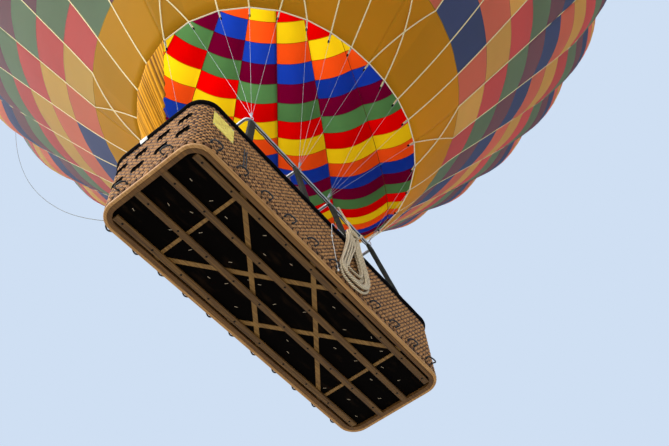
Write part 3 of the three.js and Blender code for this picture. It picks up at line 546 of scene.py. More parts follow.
def woven_tree():
    """Canes woven in pairs round upright stakes along each line: a pair shows on every other stake."""
    tree, given = new_tree("Woven cane", [
        ("Lines", "Geometry", None), ("Stake pitch", "Float", 0.045), ("Row pitch", "Float", 0.0225),
        ("Rows", "Int", 46), ("Cane", "Vector", None), ("Step holes", "Float", 0.0), ("Seed", "Int", 3),
        ("Material", "Material", None),
    ])
    curve = add(tree, "GeometryNodeMeshToCurve", {"Mesh": given["Lines"]})
    laid = add(tree, "GeometryNodeCurveToPoints", {"Curve": curve, "Length": given["Stake pitch"]},
               mode="LENGTH")
    number = add(tree, "GeometryNodeInputIndex")
    points = add(tree, STORE,
                 {"Geometry": laid.outputs["Points"], "Name": "stake", "Value": number}, data_type="FLOAT")
    points = add(tree, STORE,
                 {"Geometry": points, "Name": "heading", "Value": laid.outputs["Tangent"]},
                 data_type="FLOAT_VECTOR")
    rows = add(tree, "GeometryNodeDuplicateElements", {"Geometry": points, "Amount": given["Rows"]},
               domain="POINT")
    row = rows.outputs["Duplicate Index"]
    height = add(tree, MATH, [row, given["Row pitch"]], operation="MULTIPLY")
    lift = add(tree, "ShaderNodeCombineXYZ", {"Z": height})
    points = add(tree, "GeometryNodeSetPosition", {"Geometry": rows.outputs["Geometry"], "Offset": lift})
    stake = add(tree, NAMED, {"Name": "stake"}, data_type="FLOAT")
    half = add(tree, MATH, [row, 2.0], operation="DIVIDE")
    pair = add(tree, MATH, [half], operation="FLOOR")
    both = add(tree, MATH, [stake, pair], operation="ADD")
    odd = add(tree, MATH, [both, 2.0], operation="FLOORED_MODULO")
    shows = add(tree, MATH, [odd, 0.5], operation="LESS_THAN")
    # No cane over the step holes: each lies as far on one side of a middle as the next on the other.
    where = add(tree, "GeometryNodeInputPosition")
    xyz = add(tree, "ShaderNodeSeparateXYZ", [where]).outputs
    inside = given["Step holes"]
    for axis, (first, second), free in ((1, STEP_ACROSS, STEP_FREE[0]), (2, STEP_UP, STEP_FREE[1])):
        reach = xyz[axis]
        if axis == 1:
            reach = add(tree, MATH, [reach], operation="ABSOLUTE")
        for step in ((first + second) / 2, (second - first) / 2):
            reach = add(tree, MATH, [reach, step], operation="SUBTRACT")
            reach = add(tree, MATH, [reach], operation="ABSOLUTE")
        within = add(tree, MATH, [reach, free], operation="LESS_THAN")
        inside = add(tree, MATH, [inside, within], operation="MULTIPLY")
    chosen = add(tree, MATH, [shows, inside], operation="GREATER_THAN")
    cane = add(tree, "GeometryNodeMeshIcoSphere", {"Radius": 1.0, "Subdivisions": 1}).outputs["Mesh"]
    cane = add(tree, "GeometryNodeSetShadeSmooth", {"Geometry": cane})
    heading = add(tree, NAMED, {"Name": "heading"}, data_type="FLOAT_VECTOR")
    turn = add(tree, "FunctionNodeAxesToRotation", [heading, (0.0, 0.0, 1.0)],
               primary_axis="X", secondary_axis="Z")
    spread = add(tree, "FunctionNodeRandomValue",
                 {"Min": (0.88, 0.8, 0.88), "Max": (1.1, 1.1, 1.12), "Seed": given["Seed"]},
                 data_type="FLOAT_VECTOR")
    size = add(tree, VECTOR_MATH, [given["Cane"], spread], operation="MULTIPLY")
    canes = add(tree, "GeometryNodeInstanceOnPoints",
                {"Points": points, "Selection": chosen, "Instance": cane, "Rotation": turn, "Scale": size})
    # Every sixth row is darker, and canes differ from one another.
    sixth = add(tree, MATH, [row, 6.0], operation="FLOORED_MODULO")
    dark = add(tree, MATH, [sixth, 1.5], operation="LESS_THAN")
    varied = add(tree, "FunctionNodeRandomValue", {2: 0.3, 3: 1.15, "Seed": given["Seed"]},
                 data_type="FLOAT").outputs[1]
    shade = add(tree, MATH, [dark, -0.6, varied], operation="MULTIPLY_ADD")
    canes = add(tree, STORE, {"Geometry": canes, "Name": "shade", "Value": shade},
                data_type="FLOAT", domain="INSTANCE")
    close_tree(tree, canes, given["Material"])
    return tree


def line_mesh(name, lines):
    """Lines of points as one mesh of edges, with each point's radius. A line is (points, radius, closed)."""
    points, edges, thick = [], [], []
    for line, radius, closed in lines:
        first = len(points)
        points += line
        thick += list(radius) if hasattr(radius, "__len__") else [radius] * len(line)
        edges += [(first + i, first + i + 1) for i in range(len(line) - 1)]
        if closed:
            edges.append((len(points) - 1, first))
    mesh = mesh_of(name, points, [], edges=edges)
    note(mesh, "thick", thick)
    return mesh


def piped(name, lines, surface_name, sides=8):
    """Round tubes along lines, as one mesh."""
    values = {"Sides": sides, "Material": finish(surface_name)}
    return grown(name, once(round_line_tree), values, line_mesh(name, lines))


def barred(name, lines, width, thickness, surface_name, edge=0.0):
    """Bars or tapes along lines, as one mesh."""
    values = {"Width": width, "Thickness": thickness, "Edge": edge, "Material": finish(surface_name)}
    return grown(name, once(bar_line_tree, edge > 0), values,
                 line_mesh(name, [(line, 0.01, closed) for line, closed in lines]))


def studded(name, spots, size, surface_name):
    """Round heads at spots, each a point and the way it faces, as one mesh."""
    base = mesh_of(name, [point for point, _ in spots], [])
    note(base, "facing", [facing for _, facing in spots], "FLOAT_VECTOR")
    return grown(name, once(stud_tree), {"Size": size, "Material": finish(surface_name)}, base)


def lofted(name, rings, surface_name, smooth=True):
    """A closed body through rings of points, with both ends filled."""
    count = len(rings[0])
    faces = [tuple(reversed(range(count)))]
    for ring in range(len(rings) - 1):
        low, high = ring * count, (ring + 1) * count
        faces += [(low + i, low + (i + 1) % count, high + (i + 1) % count, high + i) for i in range(count)]
    faces.append(tuple(range(len(rings) * count - count, len(rings) * count)))
    return mesh_of(name, [p for ring in rings for p in ring], faces, finish(surface_name), smooth)


def turned(name, profile, centre, surface_name, sides=40):
    """A body turned about an upright axis, from (radius, height) pairs that start and end near the axis."""
    rings = []
    for radius, height in profile:
        rings.append([centre + polar(radius, 2 * math.pi * i / sides, height) for i in range(sides)])
    mesh = lofted(name, rings, surface_name)
    mesh.set_sharp_from_angle(angle=math.radians(50))
    return mesh


def rounded_path(half_x, half_y, radius, z, turns=8, space=0.3):
    """Points round a rectangle with round corners, no further apart along its sides than space."""
    points = []
    for side_x, side_y, start in ((1, 1, 0), (-1, 1, 90), (-1, -1, 180), (1, -1, 270)):
        for k in range(turns + 1):
            a = math.radians(start + 90 * k / turns)
            points.append(Vector((side_x * (half_x - radius) + radius * math.cos(a),
                                  side_y * (half_y - radius) + radius * math.sin(a), z)))
    line = []
    for a, b in zip(points, points[1:] + points[:1]):
        parts = max(1, math.ceil((b - a).length / space))
        line += [a.lerp(b, i / parts) for i in range(parts)]
    return line


def round_basket(inset, z, turns=8, space=0.6):
    """Points round the basket, an inset inside its outer face."""
    return rounded_path(HALF_LENGTH - inset, HALF_WIDTH - inset, CORNER - inset, z, turns, space)


def smooth_route(points, steps):
    """A centripetal curve through points, cut into that many steps."""
    ends = [points[0] * 2 - points[1], *points, points[-1] * 2 - points[-2]]
    line = []
    for step in range(steps + 1):
        at = min(step / steps * (len(points) - 1), len(points) - 1 - 1e-9)
        i = int(at)
        p = ends[i:i + 4]
        t = [0.0]
        for a, b in zip(p, p[1:]):
            t.append(t[-1] + math.sqrt((b - a).length))
        x = t[1] + (t[2] - t[1]) * (at - i)
        near = [p[k].lerp(p[k + 1], (x - t[k]) / (t[k + 1] - t[k])) for k in range(3)]
        nearer = [near[k].lerp(near[k + 1], (x - t[k]) / (t[k + 2] - t[k])) for k in range(2)]
        line.append(nearer[0].lerp(nearer[1], (x - t[1]) / (t[2] - t[1])))
    return line


def put(name, maker, *given, **ridden):
    """Makes a mesh and places it under the same name."""
    return place(name, maker(name, *given), **ridden)


def node_box(name):
    """The corners and the middle of a CAD node's box."""
    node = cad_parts[name]
    corners = [node.matrix_world @ Vector(corner) for corner in node.bound_box]
    return corners, sum(corners, Vector()) / 8


def dress(material, *nodes):
    """Gives CAD nodes that stay their finish."""
    for name in nodes:
        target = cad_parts[name]
        target.data.materials.clear()
        target.data.materials.append(finish(material))


# Stage and camera


# The camera below the basket, as fitted to the basket and the load frame
CAMERA_PLACE = (-5.2055, -4.1859, -8.2957)
CAMERA_FORWARD, CAMERA_RIGHT = (0.46269, 0.28828, 0.83834), (0.61223, -0.78784, -0.06699)
SUN_WAY, SUN_ANGLE = (0.6, -0.4, -0.9), 100
FLOOR_HALF = 400.0


class StageSettings(bpy.types.PropertyGroup):
    lens: FloatProperty(name="Lens", description="Focal length of the camera", default=42.67, unit="CAMERA")
    sun: FloatProperty(name="Sun", description="Strength of the soft sun above", default=7.2)
    sky: FloatProperty(name="Sky", description="Strength of the even light from all round", default=1.0)
    floor_height: FloatProperty(name="Floor", description="Height of the floor", default=-8.4, unit="LENGTH")


class BALLOON_OT_stage(bpy.types.Operator):
    """Makes the camera, the lights and the floor"""
    bl_idname = "balloon.stage"
    bl_label = "Stage"

    def execute(self, context):
        settings = context.scene.balloon_stage
        lens = bpy.data.cameras.new("camera")
        lens.lens, lens.sensor_width = settings.lens, 36.0
        lens.clip_end = 400.0
        camera = bpy.data.objects.new("camera", lens)
        forward, right = Vector(CAMERA_FORWARD).normalized(), Vector(CAMERA_RIGHT).normalized()
        facing = Matrix((right, right.cross(forward), -forward)).transposed().to_4x4()
        camera.matrix_world = Matrix.Translation(CAMERA_PLACE) @ facing
        context.scene.collection.objects.link(camera)
        context.scene.camera = camera
        self.light(context, settings)
        half, z = FLOOR_HALF, settings.floor_height
        corners = [(-half, -half, z), (half, -half, z), (half, half, z), (-half, half, z)]
        floor = bpy.data.objects.new("floor", mesh_of("floor", corners, [(0, 1, 2, 3)], smooth=False))
        floor.data.materials.append(surface("pale_floor", "A8A8A4", 0.9)[0])
        context.scene.collection.objects.link(floor)
        return {"FINISHED"}

    def light(self, context, settings):
        world = bpy.data.worlds.new("studio")
        world.use_nodes = True
        background = world.node_tree.nodes["Background"]
        background.inputs["Color"].default_value = linear("CFDFF3")
        background.inputs["Strength"].default_value = settings.sky
        context.scene.world = world
        lamp = bpy.data.lights.new("sun", "SUN")
        lamp.energy, lamp.angle = settings.sun, math.radians(SUN_ANGLE)
        sun = bpy.data.objects.new("sun", lamp)
        sun.rotation_euler = Vector(SUN_WAY).to_track_quat("-Z", "Y").to_euler()
        context.scene.collection.objects.link(sun)
        context.scene.view_settings.view_transform = "Standard"


# Ropes

# Routes, in millimetres
CROWN_LINE = [
    (-25, 250, 36810), (-190, 1890, 36755), (-360, 3585, 36695), (-690, 6860, 36060), (-980, 9730, 34345),
    (-1195, 11850, 31750), (-1310, 13010, 28780), (-1340, 13290, 25600), (-1290, 12815, 22435),
    (-1180, 11735, 19430), (-1245, 10105, 15625), (-1305, 8480, 12195), (-1370, 6855, 9145),
    (-1435, 5225, 6475), (-1485, 3820, 4465), (-1535, 2515, 2865), (-1575, 1540, 1820),
    (-1600, 960, 1210), (-1600, 881, 1200),
]
TAIL = [
    (560, -668, 2500), (560, -686, 2498), (560, -702, 2485), (555, -715, 2450), (545, -745, 2300),
    (515, -830, 1950), (502, -893, 1650), (500, -908, 1560),
]
# Round the hank's outline: across, height, and the way in from there, across and up
HANK = [
    (500, 1510, 0.0, -0.45), (415, 1430, 0.3, -0.5), (330, 1120, 1.0, 0.0), (180, 620, 1.0, 0.0),
    (75, 260, 1.0, 0.2), (130, 75, 0.6, 0.8), (340, 25, 0.0, 1.0), (570, 90, -0.4, 0.9),
    (745, 330, -1.0, 0.2), (740, 640, -1.0, 0.0), (655, 1100, -1.0, 0.0), (590, 1430, -0.3, -0.5),
]
THIN_CORD = [
    (300, -884, 1235), (20, -893, 1190), (-15, -895, 1000), (-30, -893, 820), (0, -892, 450), (35, -891, 90),
]
# The hank, in millimetres: its top, its place off the wall, the step out for every second turn, and how far
# its turns lie in from the edge: the first pair, each further pair, and their unevenness
HANK_TOP, HANK_OUT, HANK_LAYER, HANK_EDGE, HANK_PITCH, HANK_UNEVEN = 1510, -898, 31, 18, 50, 8
# The step, in metres, between the heights of the turns at the hank's lower end
HANK_SAG = 0.035
# The rope's end, in metres
ROPE_END = [(0.66, -0.945, 1.5), (0.7, -0.95, 1.56), (0.72, -0.94, 1.63)]
# The neck, in metres: its middle, half widths, rise of a turn, turns, and steps to a turn
NECK, NECK_X, NECK_Y, NECK_RISE, NECK_TURNS, NECK_STEPS = (0.503, -0.909, 1.345), 0.112, 0.052, 0.0255, 4, 12
# Handle loops: number and pitch along a long wall, first place, places on an end wall, height and half width
HANDLES, HANDLE_PITCH, HANDLE_FIRST, HANDLE_ENDS = 11, 0.455, -2.3, (-0.38, 0.38)
HANDLE_HEIGHT, HANDLE_HALF = 0.19, 0.073
# Dark ropes on the front wall: places along it, height of their top, place across, and drop at each step
FRONT_ROPES, FRONT_ROPE_TOP, FRONT_ROPE_OUT, FRONT_ROPE_DROP = (-1.82, -1.775), 0.79, -0.866, 0.045


class RopeSettings(bpy.types.PropertyGroup):
    crown_line: FloatProperty(
        name="Crown line", description="Diameter of the crown line", default=0.012, unit="LENGTH")
    handling: FloatProperty(
        name="Handling rope", description="Diameter of the handling rope", default=0.034, unit="LENGTH")
    handle: FloatProperty(
        name="Handles", description="Diameter of the handle loops", default=0.022, unit="LENGTH")
    turns: IntProperty(name="Turns", description="Turns in the hank", default=8, min=2)


def corded(name, line, thick, surface_name, replaces=(), sides=8):
    """A rope along a line, placed as one piece."""
    rope = put(name, piped, [(line, thick / 2, False)], surface_name, sides, slot="rope", replaces=replaces)
    return rope


class BALLOON_OT_ropes(bpy.types.Operator):
    """Makes the crown line, the handling rope and its hank, the front wall's cords and the handle loops"""
    bl_idname = "balloon.ropes"
    bl_label = "Ropes"

    def execute(self, context):
        settings = context.scene.balloon_ropes
        line = smooth_route([Vector(p) / 1000 for p in CROWN_LINE], 220)
        corded("crown_rope", line, settings.crown_line, "grey_rope", ["crown_line"])
        line = self.handling_rope(settings)
        corded("handling_rope", line, settings.handling, "cream_rope",
               ["rope_tail", "rope_hank"])
        line = smooth_route([Vector(p) / 1000 for p in THIN_CORD], 60)
        corded("thin_cord", line, 0.009, "white_cord")
        knots = [(line[int(len(line) * 0.6)], (0, 0, 1)), (line[-1], (0, 0, 1))]
        put("thin_cord_knots", studded, knots, (0.015, 0.015, 0.022), "white_cord", slot="rope")
        for number, x in enumerate(FRONT_ROPES):
            line = [Vector((x, FRONT_ROPE_OUT - 0.004 * (i % 2),
                            FRONT_ROPE_TOP - FRONT_ROPE_DROP * i)) for i in range(11)]
            corded(f"front_rope_{number + 1}", line, 0.018, "black_rope")
        self.handles(settings)
        return {"FINISHED"}

    def handling_rope(self, settings):
        """The tail from the load frame, the turns of the hank, and the end wound round the hank's neck."""
        points = [Vector(p) / 1000 for p in TAIL]
        for turn in range(settings.turns):
            inset = HANK_EDGE + HANK_PITCH * (turn // 2) + HANK_UNEVEN * math.sin(2.1 * turn)
            out = HANK_OUT - HANK_LAYER * (turn % 2)
            for x, z, in_x, in_z in HANK:
                lift = HANK_SAG * (turn * 2 % 5) * (1 - z / HANK_TOP)
                points.append(Vector((x + inset * in_x, out, z + inset * in_z + 1000 * lift)) / 1000)
        x, y, z = NECK
        for step in range(NECK_STEPS * NECK_TURNS + 1):
            a = 2 * math.pi * step / NECK_STEPS
            rise = NECK_RISE * step / NECK_STEPS
            points.append(Vector((x + NECK_X * math.cos(a), y + NECK_Y * math.sin(a), z + rise)))
        points += [Vector(p) for p in ROPE_END]
        return smooth_route(points, (len(points) - 1) * 5)

    def handles(self, settings):
        """Rope loops low on the walls, each end through the wall with a knot before it."""
        along_walls = [(side, HANDLE_FIRST + HANDLE_PITCH * i) for side in (-1, 1) for i in range(HANDLES)]
        # The hank hangs over the seventh place of the front wall.
        del along_walls[6]
        spots = [(Vector((x, side * HALF_WIDTH, 0)), Vector((1, 0, 0)), Vector((0, side, 0)))
                 for side, x in along_walls]
        spots += [(Vector((end * HALF_LENGTH, y, 0)), Vector((0, 1, 0)), Vector((end, 0, 0)))
                  for end in (-1, 1) for y in HANDLE_ENDS]
        up = Vector((0, 0, 1))
        knots = []
        for number, (spot, along, out) in enumerate(spots):
            sway = 0.012 * math.sin(2.4 * number)
            shape = [(-0.07, -0.01, HANDLE_HEIGHT), (-0.078, 0.03, HANDLE_HEIGHT), (-0.062, 0.072, 0.162),
                     (sway, 0.094, 0.138), (0.062, 0.072, 0.162), (0.078, 0.03, HANDLE_HEIGHT),
                     (0.07, -0.01, HANDLE_HEIGHT)]
            line = smooth_route([spot + along * a + out * o + up * u for a, o, u in shape], 24)
            corded(f"handle_{number + 1}", line, settings.handle, "black_rope", sides=6)
            knots += [(spot + along * a + out * 0.008 + up * HANDLE_HEIGHT, out)
                      for a in (-HANDLE_HALF, HANDLE_HALF)]
        put("handle_knots", studded, knots, (0.02, 0.02, 0.014), "black_rope", slot="rope")


# Envelope


def envelope_rows():
    """Stations up the wall: length from the mouth, hump between seams, row, and whether a seam starts."""
    rows = []
    edges = [0.0] + SEAMS
    for i, start in enumerate(edges):
        end = edges[i + 1] if i + 1 < len(edges) else WALL_LENGTH
        if i:
            rows.append((start - SEAM_HALF, 0.0, i - 2, 1.0))
        first = start + SEAM_HALF if i else 0.0
        last = end - SEAM_HALF if i + 1 < len(edges) else end
        cuts = max(3, round((last - first) / 0.28))
        for cut in range(cuts):
            part = cut / cuts
            rows.append((first + (last - first) * part, math.sin(math.pi * part), i - 1, 0.0))
    rows.append((WALL_LENGTH, 0.0, len(edges) - 2, 0.0))
    return rows


def tape_lines(rows):
    """The 33 tapes as lines of points, with what the cloth between them needs to know."""
    points, outward = [], []
    for tape in range(GORES + 1):
        for s, *_ in rows:
            p, n = tape_point(s, tape)
            points.append(p)
            outward.append(n)
    count = len(rows)
    edges = [(t * count + j, t * count + j + 1) for t in range(GORES + 1) for j in range(count - 1)]
    mesh = mesh_of("tape_lines", points, [], edges=edges)
    note(mesh, "outward", outward, "FLOAT_VECTOR")
    for name, column in (("hump", 1), ("row", 2), ("seam", 3), ("along", 0)):
        note(mesh, name, [row[column] for row in rows] * (GORES + 1))
    note(mesh, "full", [fullness(row[0]) for row in rows] * (GORES + 1))
    return mesh


def gore_cloth_tree():
    """Cloth between neighbouring tapes: each gore swells out, and each panel a little between its seams."""
    tree, given = new_tree("Gore cloth", [
        ("Tape lines", "Geometry", None), ("First tape", "Int", 0), ("Gores", "Int", GORES_A_SECTOR),
        ("Columns a gore", "Int", COLUMNS_A_GORE), ("Stations", "Int", 100), ("First station", "Int", 0),
        ("Rows", "Int", 50), ("Swell", "Float", BULGE), ("Pucker", "Float", 0.012),
        ("Wrinkle", "Float", 0.03), ("Material", "Material", None),
    ])
    # A grid whose columns lie across the gores, and whose rows are the stations up the wall
    columns = add(tree, MATH, [given["Gores"], given["Columns a gore"], 1.0], operation="MULTIPLY_ADD")
    rows = add(tree, MATH, [given["Rows"], 1.0], operation="ADD")
    grid = add(tree, "GeometryNodeMeshGrid",
               {"Size X": 1.0, "Size Y": 1.0, "Vertices X": columns, "Vertices Y": rows})
    where = add(tree, "GeometryNodeInputPosition")
    xyz = add(tree, "ShaderNodeSeparateXYZ", [where]).outputs
    share_x = add(tree, MATH, [xyz[0], 0.5], operation="ADD")
    share_y = add(tree, MATH, [xyz[1], 0.5], operation="ADD")
    across = add(tree, MATH, [share_x, given["Gores"], given["First tape"]], operation="MULTIPLY_ADD")
    up = add(tree, MATH, [share_y, given["Rows"]], operation="MULTIPLY")
    nudged = add(tree, MATH, [across, 0.001], operation="ADD")
    low = add(tree, MATH, [nudged], operation="FLOOR")
    past_low = add(tree, MATH, [across, low], operation="SUBTRACT")
    part = add(tree, MATH, [past_low, 0.0], operation="MAXIMUM")
    whole_up = add(tree, MATH, [up], operation="ROUND")
    station = add(tree, MATH, [whole_up, given["First station"]], operation="ADD")

    # What the tape on each side has at that station
    found = {}
    for side in (0, 1):
        tape = add(tree, MATH, [low, float(side)], operation="ADD")
        tape = add(tree, MATH, [tape, float(GORES)], operation="MINIMUM")
        index = add(tree, MATH, [tape, given["Stations"], station], operation="MULTIPLY_ADD")
        for name, kind in (("position", "FLOAT_VECTOR"), ("outward", "FLOAT_VECTOR"), ("hump", "FLOAT"),
                           ("along", "FLOAT"), ("full", "FLOAT")):
            field = where if name == "position" else add(tree, NAMED, {"Name": name}, data_type=kind)
            found[name, side] = add(tree, "GeometryNodeSampleIndex",
                                    {"Geometry": given["Tape lines"], "Value": field, "Index": index},
                                    data_type=kind, domain="POINT")
    mixed = {}
    for name in ("position", "outward"):
        span = add(tree, VECTOR_MATH, [found[name, 1], found[name, 0]], operation="SUBTRACT")
        moved = add(tree, VECTOR_MATH, {0: span, "Scale": part}, operation="SCALE")
        mixed[name] = add(tree, VECTOR_MATH, [found[name, 0], moved], operation="ADD")
    out = add(tree, VECTOR_MATH, [mixed["outward"]], operation="NORMALIZE")
    flat = add(tree, VECTOR_MATH, [mixed["position"], (1.0, 1.0, 0.0)], operation="MULTIPLY")
    radius = add(tree, VECTOR_MATH, [flat], operation="LENGTH").outputs["Value"]

    # A gore swells as half a sine between its tapes, and a panel between its seams.
    half_turn = add(tree, MATH, [part, math.pi], operation="MULTIPLY")
    arch = add(tree, MATH, [half_turn], operation="SINE")
    full = found["full", 0]
    full_arch = add(tree, MATH, [arch, full], operation="MULTIPLY")
    depth = add(tree, MATH, [radius, given["Swell"]], operation="MULTIPLY")
    swell = add(tree, MATH, [depth, full_arch], operation="MULTIPLY")
    hump = add(tree, MATH, [found["hump", 0], given["Pucker"]], operation="MULTIPLY")
    pucker = add(tree, MATH, [hump, full], operation="MULTIPLY")

    # Wrinkles run along the wall, and are deepest near the mouth, where the air hardly presses on the cloth.
    fading = add(tree, MATH, [WRINKLE_FADE, found["along", 0]], operation="POWER")
    slack = add(tree, MATH, [fading, 1 - WRINKLE_LEFT, WRINKLE_LEFT], operation="MULTIPLY_ADD")
    lengthened = add(tree, VECTOR_MATH, [mixed["position"], (1.0, 1.0, 0.35)], operation="MULTIPLY")
    noise = add(tree, NOISE, {"Vector": lengthened, "Scale": 3.2, "Detail": 2.0}).outputs["Fac"]
    uneven = add(tree, MATH, [noise, 0.5], operation="SUBTRACT")
    deep = add(tree, MATH, [given["Wrinkle"], slack], operation="MULTIPLY")
    crease = add(tree, MATH, [uneven, deep], operation="MULTIPLY")
    crease = add(tree, MATH, [crease, arch], operation="MULTIPLY")
    raised = add(tree, MATH, [swell, pucker], operation="ADD")
    offset = add(tree, MATH, [raised, crease], operation="ADD")
    pushed = add(tree, VECTOR_MATH, {0: out, "Scale": offset}, operation="SCALE")
    final = add(tree, VECTOR_MATH, [mixed["position"], pushed], operation="ADD")

    # Colours step by one from panel to panel up a gore, and from gore to gore, and that step turns back
    # every eighth gore. The row below the first panels is plain.
    whole_down = add(tree, MATH, [up], operation="FLOOR")
    face_station = add(tree, MATH, [whole_down, given["First station"]], operation="ADD")
    looked_up = {}
    for name in ("row", "seam"):
        field = add(tree, NAMED, {"Name": name}, data_type="FLOAT")
        looked_up[name] = add(tree, "GeometryNodeSampleIndex",
                              {"Geometry": given["Tape lines"], "Value": field, "Index": face_station},
                              data_type="FLOAT", domain="POINT")
    row = looked_up["row"]
    gore = add(tree, MATH, [across], operation="FLOOR")
    from_turn = add(tree, MATH, [gore, 2.0], operation="SUBTRACT")
    turn = add(tree, MATH, [from_turn, 2.0 * TURN_BACK], operation="FLOORED_MODULO")
    rising = add(tree, MATH, [turn, 5.0], operation="ADD")
    falling = add(tree, MATH, [14.0, turn], operation="SUBTRACT")
    falls = add(tree, MATH, [turn, TURN_BACK - 0.5], operation="GREATER_THAN")
    fall = add(tree, MATH, [falling, rising], operation="SUBTRACT")
    first = add(tree, MATH, [falls, fall, rising], operation="MULTIPLY_ADD")
    stepped = add(tree, MATH, [first, row], operation="ADD")
    colour = add(tree, MATH, [stepped, PANEL_COLOURS], operation="FLOORED_MODULO")
    plain = add(tree, MATH, [row, -0.5], operation="LESS_THAN")
    to_plain = add(tree, MATH, [PANEL_COLOURS, colour], operation="SUBTRACT")
    panel = add(tree, MATH, [plain, to_plain, colour], operation="MULTIPLY_ADD")
    panel_id = add(tree, MATH, [gore, 64.0, row], operation="MULTIPLY_ADD")
    panel_id = add(tree, MATH, [panel_id, 2.0], operation="ADD")
    lot = add(tree, "FunctionNodeRandomValue", {"ID": panel_id, "Seed": 7}, data_type="FLOAT").outputs[1]
    mesh = grid
    for name, value in (("panel", panel), ("lot", lot), ("seam", looked_up["seam"])):
        mesh = add(tree, STORE, {"Geometry": mesh, "Name": name, "Value": value}, data_type="FLOAT",
                   domain="FACE")
    mesh = add(tree, STORE, {"Geometry": mesh, "Name": "UVMap", "Value": grid.outputs["UV Map"]},
               data_type="FLOAT2", domain="CORNER")
    mesh = add(tree, "GeometryNodeSetPosition", {"Geometry": mesh, "Position": final})
    mesh = add(tree, "GeometryNodeSetShadeSmooth", {"Geometry": mesh})
    close_tree(tree, mesh, given["Material"])
    return tree


# How far the tapes lie outside and inside the wall, and how far they stand off where they cross
TAPE_OUT, TAPE_IN, TAPE_CROSSING, TAPE_THICKNESS = 0.003, -0.008, 0.03, 0.004
# Flat size of the cloth: how much wider it is than the wall, and the stations where its width is taken
CUT_EASE, CUT_STATIONS = 1.01, 20


class EnvelopeSettings(bpy.types.PropertyGroup):
    swell: FloatProperty(
        name="Swell", description="How far a gore swells out, as a share of the radius", default=BULGE)
    pucker: FloatProperty(
        name="Pucker", description="How far a panel swells between its seams", default=0.012, unit="LENGTH")
    wrinkle: FloatProperty(
        name="Wrinkle", description="Depth of the wrinkles near the mouth", default=0.06, unit="LENGTH")
    tape: FloatProperty(name="Tape", description="Width of a load tape", default=0.026, unit="LENGTH")
    wall: FloatProperty(
        name="Cloth", description="Thickness that the cloth is drawn with", default=0.004, unit="LENGTH")


class BALLOON_OT_envelope(bpy.types.Operator):
    """Makes the cloth of the envelope, sector by sector"""
    bl_idname = "balloon.envelope"
    bl_label = "Envelope"

    def execute(self, context):
        settings = context.scene.balloon_envelope
        rows = envelope_rows()
        lines = tape_lines(rows)
        tree = gore_cloth_tree()
        split = min(range(len(rows)), key=lambda j: abs(rows[j][0] - (SPLIT_SEAM - SEAM_HALF)))
        spans = (("lower", 0, split), ("upper", split, len(rows) - 1 - split))
        for sector in range(GORES // GORES_A_SECTOR):
            for part, first, count in spans:
                values = {
                    "First tape": sector * GORES_A_SECTOR, "Stations": len(rows), "First station": first,
                    "Rows": count, "Swell": settings.swell, "Pucker": settings.pucker,
                    "Wrinkle": settings.wrinkle, "Material": finish("nylon"),
                }
                name = f"cloth_{part}_{sector + 1}"
                mesh = grown(name, tree, values, lines.copy(), settings.wall)
                # The wall's second layer of faces is the cloth's coated inside.
                mesh.materials.clear()
                mesh.materials.append(finish("nylon"))
                mesh.materials.append(finish("nylon_inside"))
                layer = GORES_A_SECTOR * COLUMNS_A_GORE * count
                index = np.zeros(len(mesh.polygons), np.int32)
                index[layer:2 * layer] = 1
                mesh.polygons.foreach_set("material_index", index)
                piece = place(name, mesh, slot="envelope_nylon", replaces=[f"envelope_sector_{sector + 1}"])
                # Flat size of the cut: four gores side by side
                start, end = rows[first][0], rows[first + count][0]
                stops = [start + (end - start) * i / CUT_STATIONS for i in range(CUT_STATIONS + 1)]
                widths = [2 * math.pi * wall_at(stop)[0] * CUT_EASE / 8 for stop in stops]
        self.tapes(settings, rows, split)
        return {"FINISHED"}

    def tapes(self, settings, rows, split):
        for part, first, last in (("lower", 0, split), ("upper", split, len(rows) - 1)):
            lines = []
            for tape in range(GORES):
                line = []
                for j in range(first, last + 1):
                    s = rows[j][0]
                    # In the plain band the tapes of each pair cross over on their way to the mouth.
                    shift = {0: 1.0, 1: -1.0}.get(tape % 4, 0.0) * max(0.0, 1 - s / GOLD_TOP)
                    clear = TAPE_CROSSING * math.sin(math.pi * abs(shift))
                    line.append(tape_point(s, tape + shift, TAPE_OUT + clear + TAPE_OUT * (tape % 2))[0])
                lines.append((line, False))
            put("tapes_" + part, barred, lines, settings.tape, TAPE_THICKNESS, "webbing", slot="webbing")
        # Tapes inside the wall, drawn in the darker webbing: a painted shade on their backlit side.
        lines = []
        for tape in range(GORES):
            line = [tape_point(s, tape, TAPE_IN)[0] for s, _, _, seam in rows if s >= GOLD_TOP and not seam]
            lines.append((line, False))
        put("tapes_inside", barred, lines, settings.tape, 0.003, "dark_webbing", slot="webbing")


# Mouth, scoop and crown


# Scoop: first and last tape, columns, rows, its depth in the middle and at its ends, the heights of its clip
# and foot, the radius at its foot, its lower edge's turn for each tape, how far it stands off the hem, how
# far it is tucked up behind the hem, and its slack
SCOOP_TAPES, SCOOP_COLUMNS, SCOOP_ROWS, SCOOP_DEPTH, SCOOP_END = (14, 24), 480, 20, 2.0, 0.04
SCOOP_CLIP, SCOOP_FOOT, SCOOP_FOOT_RADIUS, SCOOP_TURN = 4.7757, 2.61, 1.69, 33
SCOOP_OUT, SCOOP_TUCK, SCOOP_SLACK = 0.0226, 0.024, 1.012
# A flying wire: where it starts, its stops from its lower end up and from its upper end back, and the radii
# of its swages
SHACKLE_TOP = 2.611
WIRE_START, WIRE_END = (0.0, 0.085, 0.1), (0.12, 0.105, 0.005)
SWAGE_LOW, SWAGE_HIGH = 0.007, 0.008
# Half of a karabiner's pear shape, across and up from the load frame's tube
KARABINER = [(0.0, -0.04), (0.024, -0.034), (0.037, -0.008), (0.034, 0.035), (0.022, 0.088), (0.0, 0.112)]
CROWN_RADIUS, CROWN_RISE, CROWN_TUBE = 0.22, 0.11, 0.015
VALVE_RADIUS, VALVE_FLAT, VALVE_SIDES = 4.1, 3.5, 96


